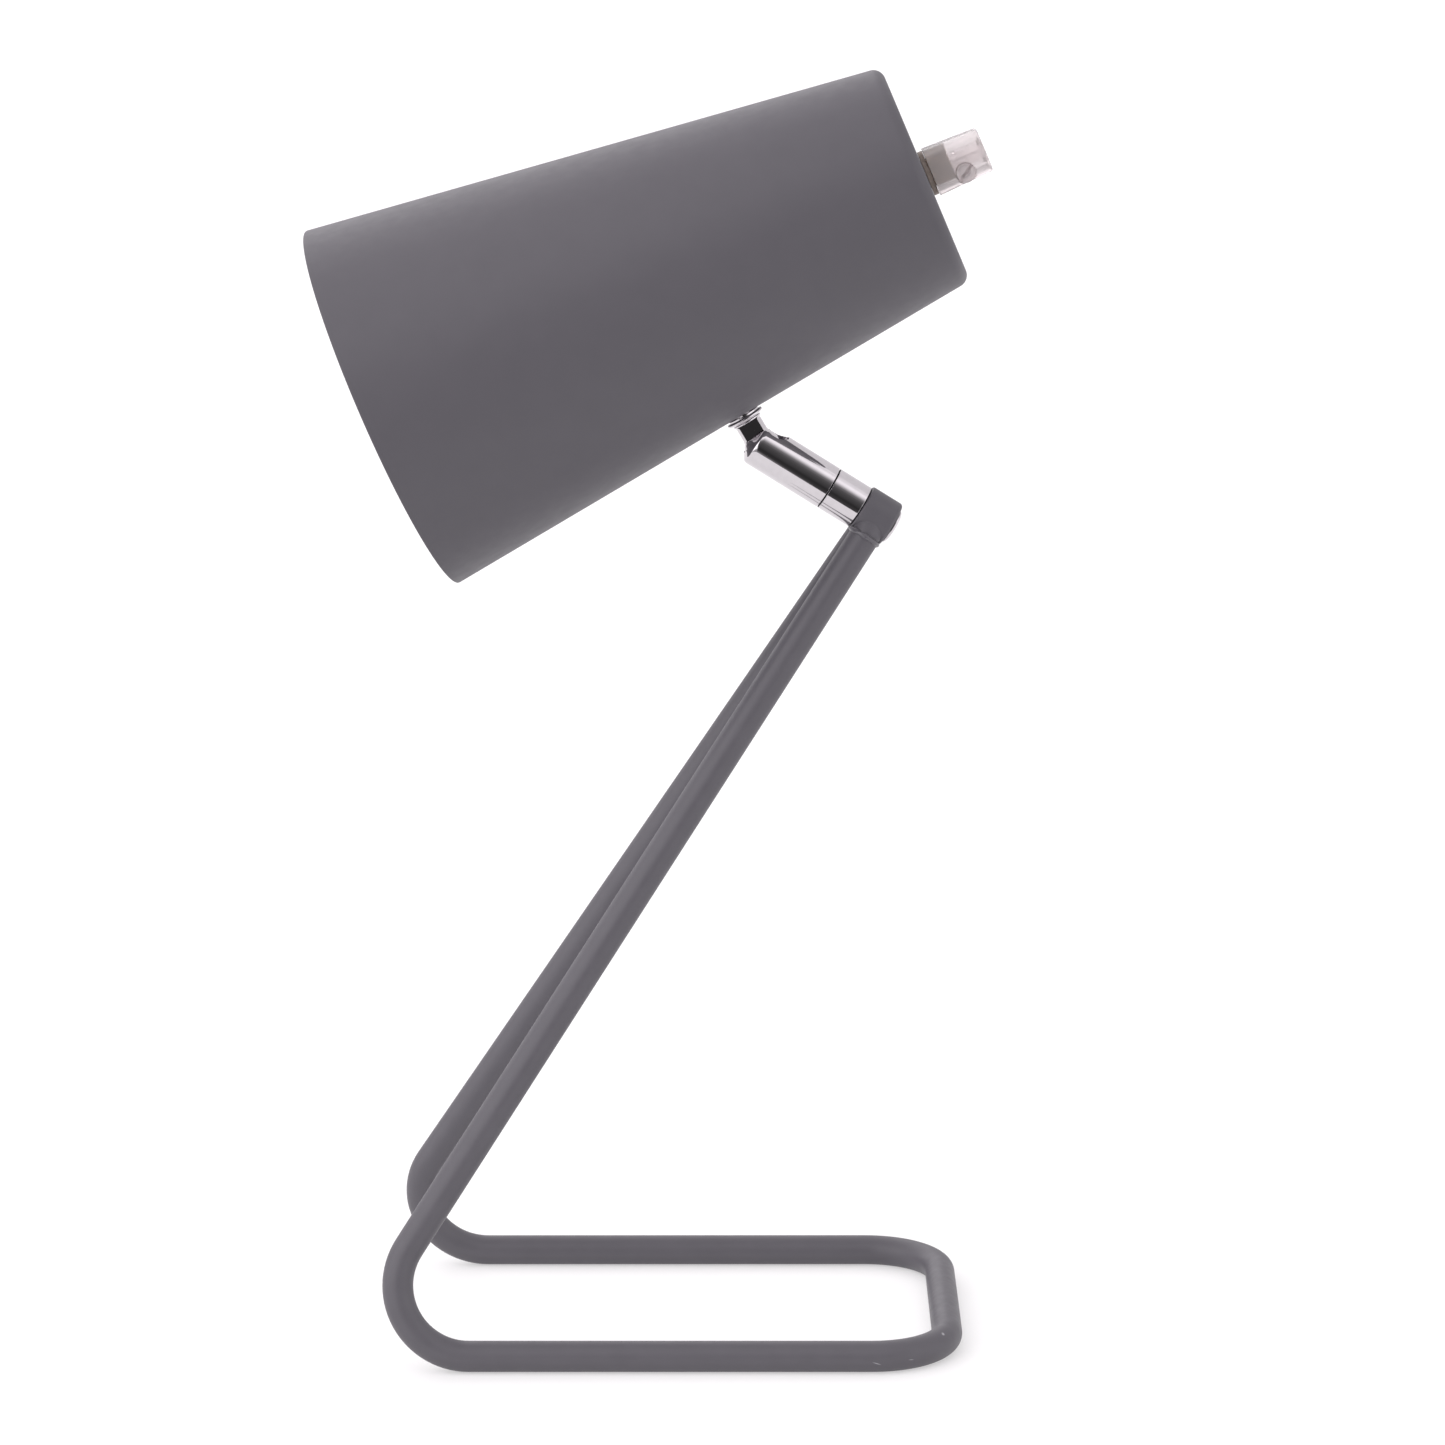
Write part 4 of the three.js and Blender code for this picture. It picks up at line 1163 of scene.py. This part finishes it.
cap_bore = BULB_CAP_R - BULB_CAP_WALL
thread_steps = int((BULB_CAP_END - BULB_CAP_START - 4) / THREAD_STEP)
thread_z = [CAP_THREAD_START + THREAD_STEP * k for k in range(thread_steps)]
bulb_cap = turned(
    "bulb_cap_fine",
    [
        (9, BULB_CAP_START, 0.1),
        (10.5, BULB_CAP_START, 0.5),
        (BULB_CAP_R, BULB_CAP_START + 2.5, 0.6),
        *[(BULB_CAP_R - thread_wave(z), z, SMOOTH) for z in thread_z],
        (BULB_CAP_R, BULB_CAP_END, 0.1),
        (cap_bore, BULB_CAP_END, 0.1),
        *[(cap_bore - thread_wave(z), z, SMOOTH) for z in reversed(thread_z)],
        (cap_bore, BULB_CAP_START + 2.7, 0.5),
        (10.3, BULB_CAP_START + BULB_CAP_WALL, 0.3),
        (9, BULB_CAP_START + BULB_CAP_WALL, 0.1),
    ],
    SHADE,
    aluminium,
    128,
)
published(bulb_cap, "shade", "bulb_aluminium", "bulb_cap")

HOUSING_WALL = 1.4
housing_outer = [
    (13.8, BULB_CAP_END + GAP, 0.3),
    (15, 62, 4),
    (19, 74, 30),
    (24, 88, 20),
    (26.2, DIFFUSER_START - GAP, 0.3),
]
housing = turned(
    "bulb_housing_fine",
    housing_outer + [(r - HOUSING_WALL, z, edge) for r, z, edge in reversed(housing_outer)],
    SHADE,
    white_plastic,
    128,
)
published(housing, "shade", "white_plastic", "bulb_housing")

DIFFUSER_WALL = 1.2
diffuser_centre = BULB_TIP + BULB_LENGTH - BULB_R
diffuser_angle = math.degrees(math.asin((DIFFUSER_START - diffuser_centre) / BULB_R))
diffuser = turned(
    "bulb_diffuser_fine",
    [
        (0, diffuser_centre + BULB_R - DIFFUSER_WALL),
        *arc(0, diffuser_centre, BULB_R - DIFFUSER_WALL, 88, diffuser_angle, 24),
        *arc(0, diffuser_centre, BULB_R, diffuser_angle, 88, 30),
        (0, diffuser_centre + BULB_R),
    ],
    SHADE,
    opal,
    128,
)
published(diffuser, "shade", "opal_plastic", "bulb_diffuser")

# ---------------- CAD nodes that stay

kept = {
    "swivel_pivot": steel,
    "swivel_spring_washer": steel,
    "ball_seat": black_plastic,
    "seat_spring": steel,
    "contact_block": ceramic,
    "screw_shell": brass,
    "centre_contact": brass,
    "terminal_screw_1": steel,
    "terminal_screw_2": steel,
    "bulb_tip": aluminium,
    "bulb_insulator": black_glass,
    "bulb_board": aluminium,
}
for node, finish in kept.items():
    piece = frame["nodes"][node]
    piece.data.materials.clear()
    piece.data.materials.append(finish.material)
    softened(piece, 0.08, 40)

# ---------------- studio and camera

FLOOR_HALF = 30
FLOOR_GLOW = 0.48
FLOOR_FRONT = -0.54  # the pale table ends here, and its edge shows in the chrome
floor_mesh = bpy.data.meshes.new("floor")
front = [(x, FLOOR_FRONT, 0) for x in (-FLOOR_HALF, FLOOR_HALF)]
back = [(x, FLOOR_HALF, 0) for x in (FLOOR_HALF, -FLOOR_HALF)]
floor_mesh.from_pydata(front + back, [], [(0, 1, 2, 3)])
floor = bpy.data.objects.new("floor", floor_mesh)
bpy.context.scene.collection.objects.link(floor)
pale = Finish("pale_floor", (0.5, 0.5, 0.5), 0.7, Specular_IOR_Level=0.2)
pale.shader.inputs["Emission Color"].default_value = (1, 0.985, 0.99, 1)
pale.shader.inputs["Emission Strength"].default_value = FLOOR_GLOW
pale.mottled(400, 0.004)
floor_mesh.materials.append(pale.material)

scene = bpy.context.scene
world = bpy.data.worlds.new("studio")
scene.world = world
world.use_nodes = True
tree = world.node_tree
sky = tree.nodes["Background"]


def world_node(kind, *values, **settings):
    """A node of the world, whose first sockets take those values or links."""
    made = tree.nodes.new(kind)
    for key, value in settings.items():
        setattr(made, key, value)
    for socket, value in zip(made.inputs, values):
        if isinstance(value, (int, float)):
            socket.default_value = value
        else:
            tree.links.new(value, socket)
    return made


def world_math(operation, *values):
    """The result of a sum in the world's nodes."""
    return world_node("ShaderNodeMath", *values, operation=operation).outputs[0]


def world_mix(share, under, over, blend="MIX"):
    """A mix of two colours, each of them a link or a plain colour."""
    made = world_node("ShaderNodeMix", data_type="RGBA", blend_type=blend)
    for index, value in ((0, share), (MIX_A, under), (MIX_B, over)):
        if isinstance(value, (float, tuple)):
            made.inputs[index].default_value = value
        else:
            tree.links.new(value, made.inputs[index])
    return made.outputs[MIX_RESULT]


heading = tree.nodes.new("ShaderNodeTexCoord").outputs["Generated"]
split = world_node("ShaderNodeSeparateXYZ", heading)
toward_camera = world_math("MULTIPLY", split.outputs["Y"], -1.0)
azimuth = world_math("ARCTAN2", split.outputs["X"], toward_camera)
either_side = world_math("ABSOLUTE", azimuth)
height = world_math("ARCSINE", split.outputs["Z"])
share = world_node("ShaderNodeMapRange", height, -math.pi / 2, math.pi / 2)


def ramp(stops):
    """Brightness by height above the horizon, from (degrees, value) stops."""
    made = world_node("ShaderNodeValToRGB", share.outputs[0])
    elements = made.color_ramp.elements
    elements.remove(elements[1])
    for degrees, value in stops:
        position = (degrees + 90) / 180
        element = elements[0] if degrees == stops[0][0] else elements.new(position)
        element.position = position
        element.color = (value, value, value, 1)
    return made.outputs["Color"]


def panel(angle, start, end, under, over):
    """Goes from one brightness to another as an angle round the lamp goes from start to end."""
    limits = (math.radians(start), math.radians(end))
    edge = world_node("ShaderNodeMapRange", angle, *limits, interpolation_type="SMOOTHSTEP")
    return world_mix(edge.outputs[0], under, over)


overhead = [(47, 1.5), (51, 1.2), (56, 0.95), (90, 0.95)]
dim_wall = [(-90, 0.2), (-20, 0.06), (-8, 0.035), (2, 0.068), (12, 0.09), (21, 0.13), (30, 0.27)]
room = ramp([*dim_wall, (36, 0.7), (42, 1.3), *overhead])
fill = ramp([(-90, 0.3), (-14, 0.6), (-4, 1.7), (35, 1.5), (42, 1.4), *overhead])
key = ramp([(-90, 0.3), (-14, 0.5), (-4, 2.2), (45, 2.4), (60, 1.7), (75, 1.1), (90, 1.0)])
around = ramp([(-90, 0.85), (0, 0.9), (50, 0.95), (80, 1.1), (90, 1.1)])
rear_left = ramp([(-90, 0.85), (0, 0.35), (7, 0.45), (13, 1.8), (45, 1.9), (70, 1.1), (90, 1.1)])
aslant = world_math("SUBTRACT", azimuth, height)
light = panel(aslant, 14, 26, room, fill)
light = panel(azimuth, -8, -20, light, key)
light = panel(either_side, 84, 100, light, around)
light = panel(azimuth, -105, -125, light, rear_left)
TINT = (1.0, 0.975, 1.0, 1.0)
WHITE = (1.0, 1.0, 1.0, 1.0)
seen = tree.nodes.new("ShaderNodeLightPath").outputs["Is Camera Ray"]
tinted = world_mix(1.0, light, TINT, "MULTIPLY")
tree.links.new(world_mix(seen, tinted, WHITE), sky.inputs["Color"])
sky.inputs["Strength"].default_value = 1.0

camera_data = bpy.data.cameras.new("camera")
camera = bpy.data.objects.new("camera", camera_data)
scene.collection.objects.link(camera)
scene.camera = camera
camera_data.sensor_width = 36
camera_data.lens = 116.73
EYE = (0.03706, -1.5, 0.496178)
YAW, PITCH, ROLL = -0.009214, -0.19357, -0.003013  # radians
away = math.cos(PITCH)
forward = Vector((math.sin(YAW) * away, math.cos(YAW) * away, math.sin(PITCH)))
level = Vector((math.cos(YAW), -math.sin(YAW), 0))
upward = level.cross(forward)
to_right = level * math.cos(ROLL) + upward * math.sin(ROLL)
to_top = upward * math.cos(ROLL) - level * math.sin(ROLL)
view_axes = Matrix((to_right, to_top, -forward)).transposed().to_4x4()
camera.matrix_world = Matrix.Translation(EYE) @ view_axes

scene.view_settings.view_transform = "Standard"
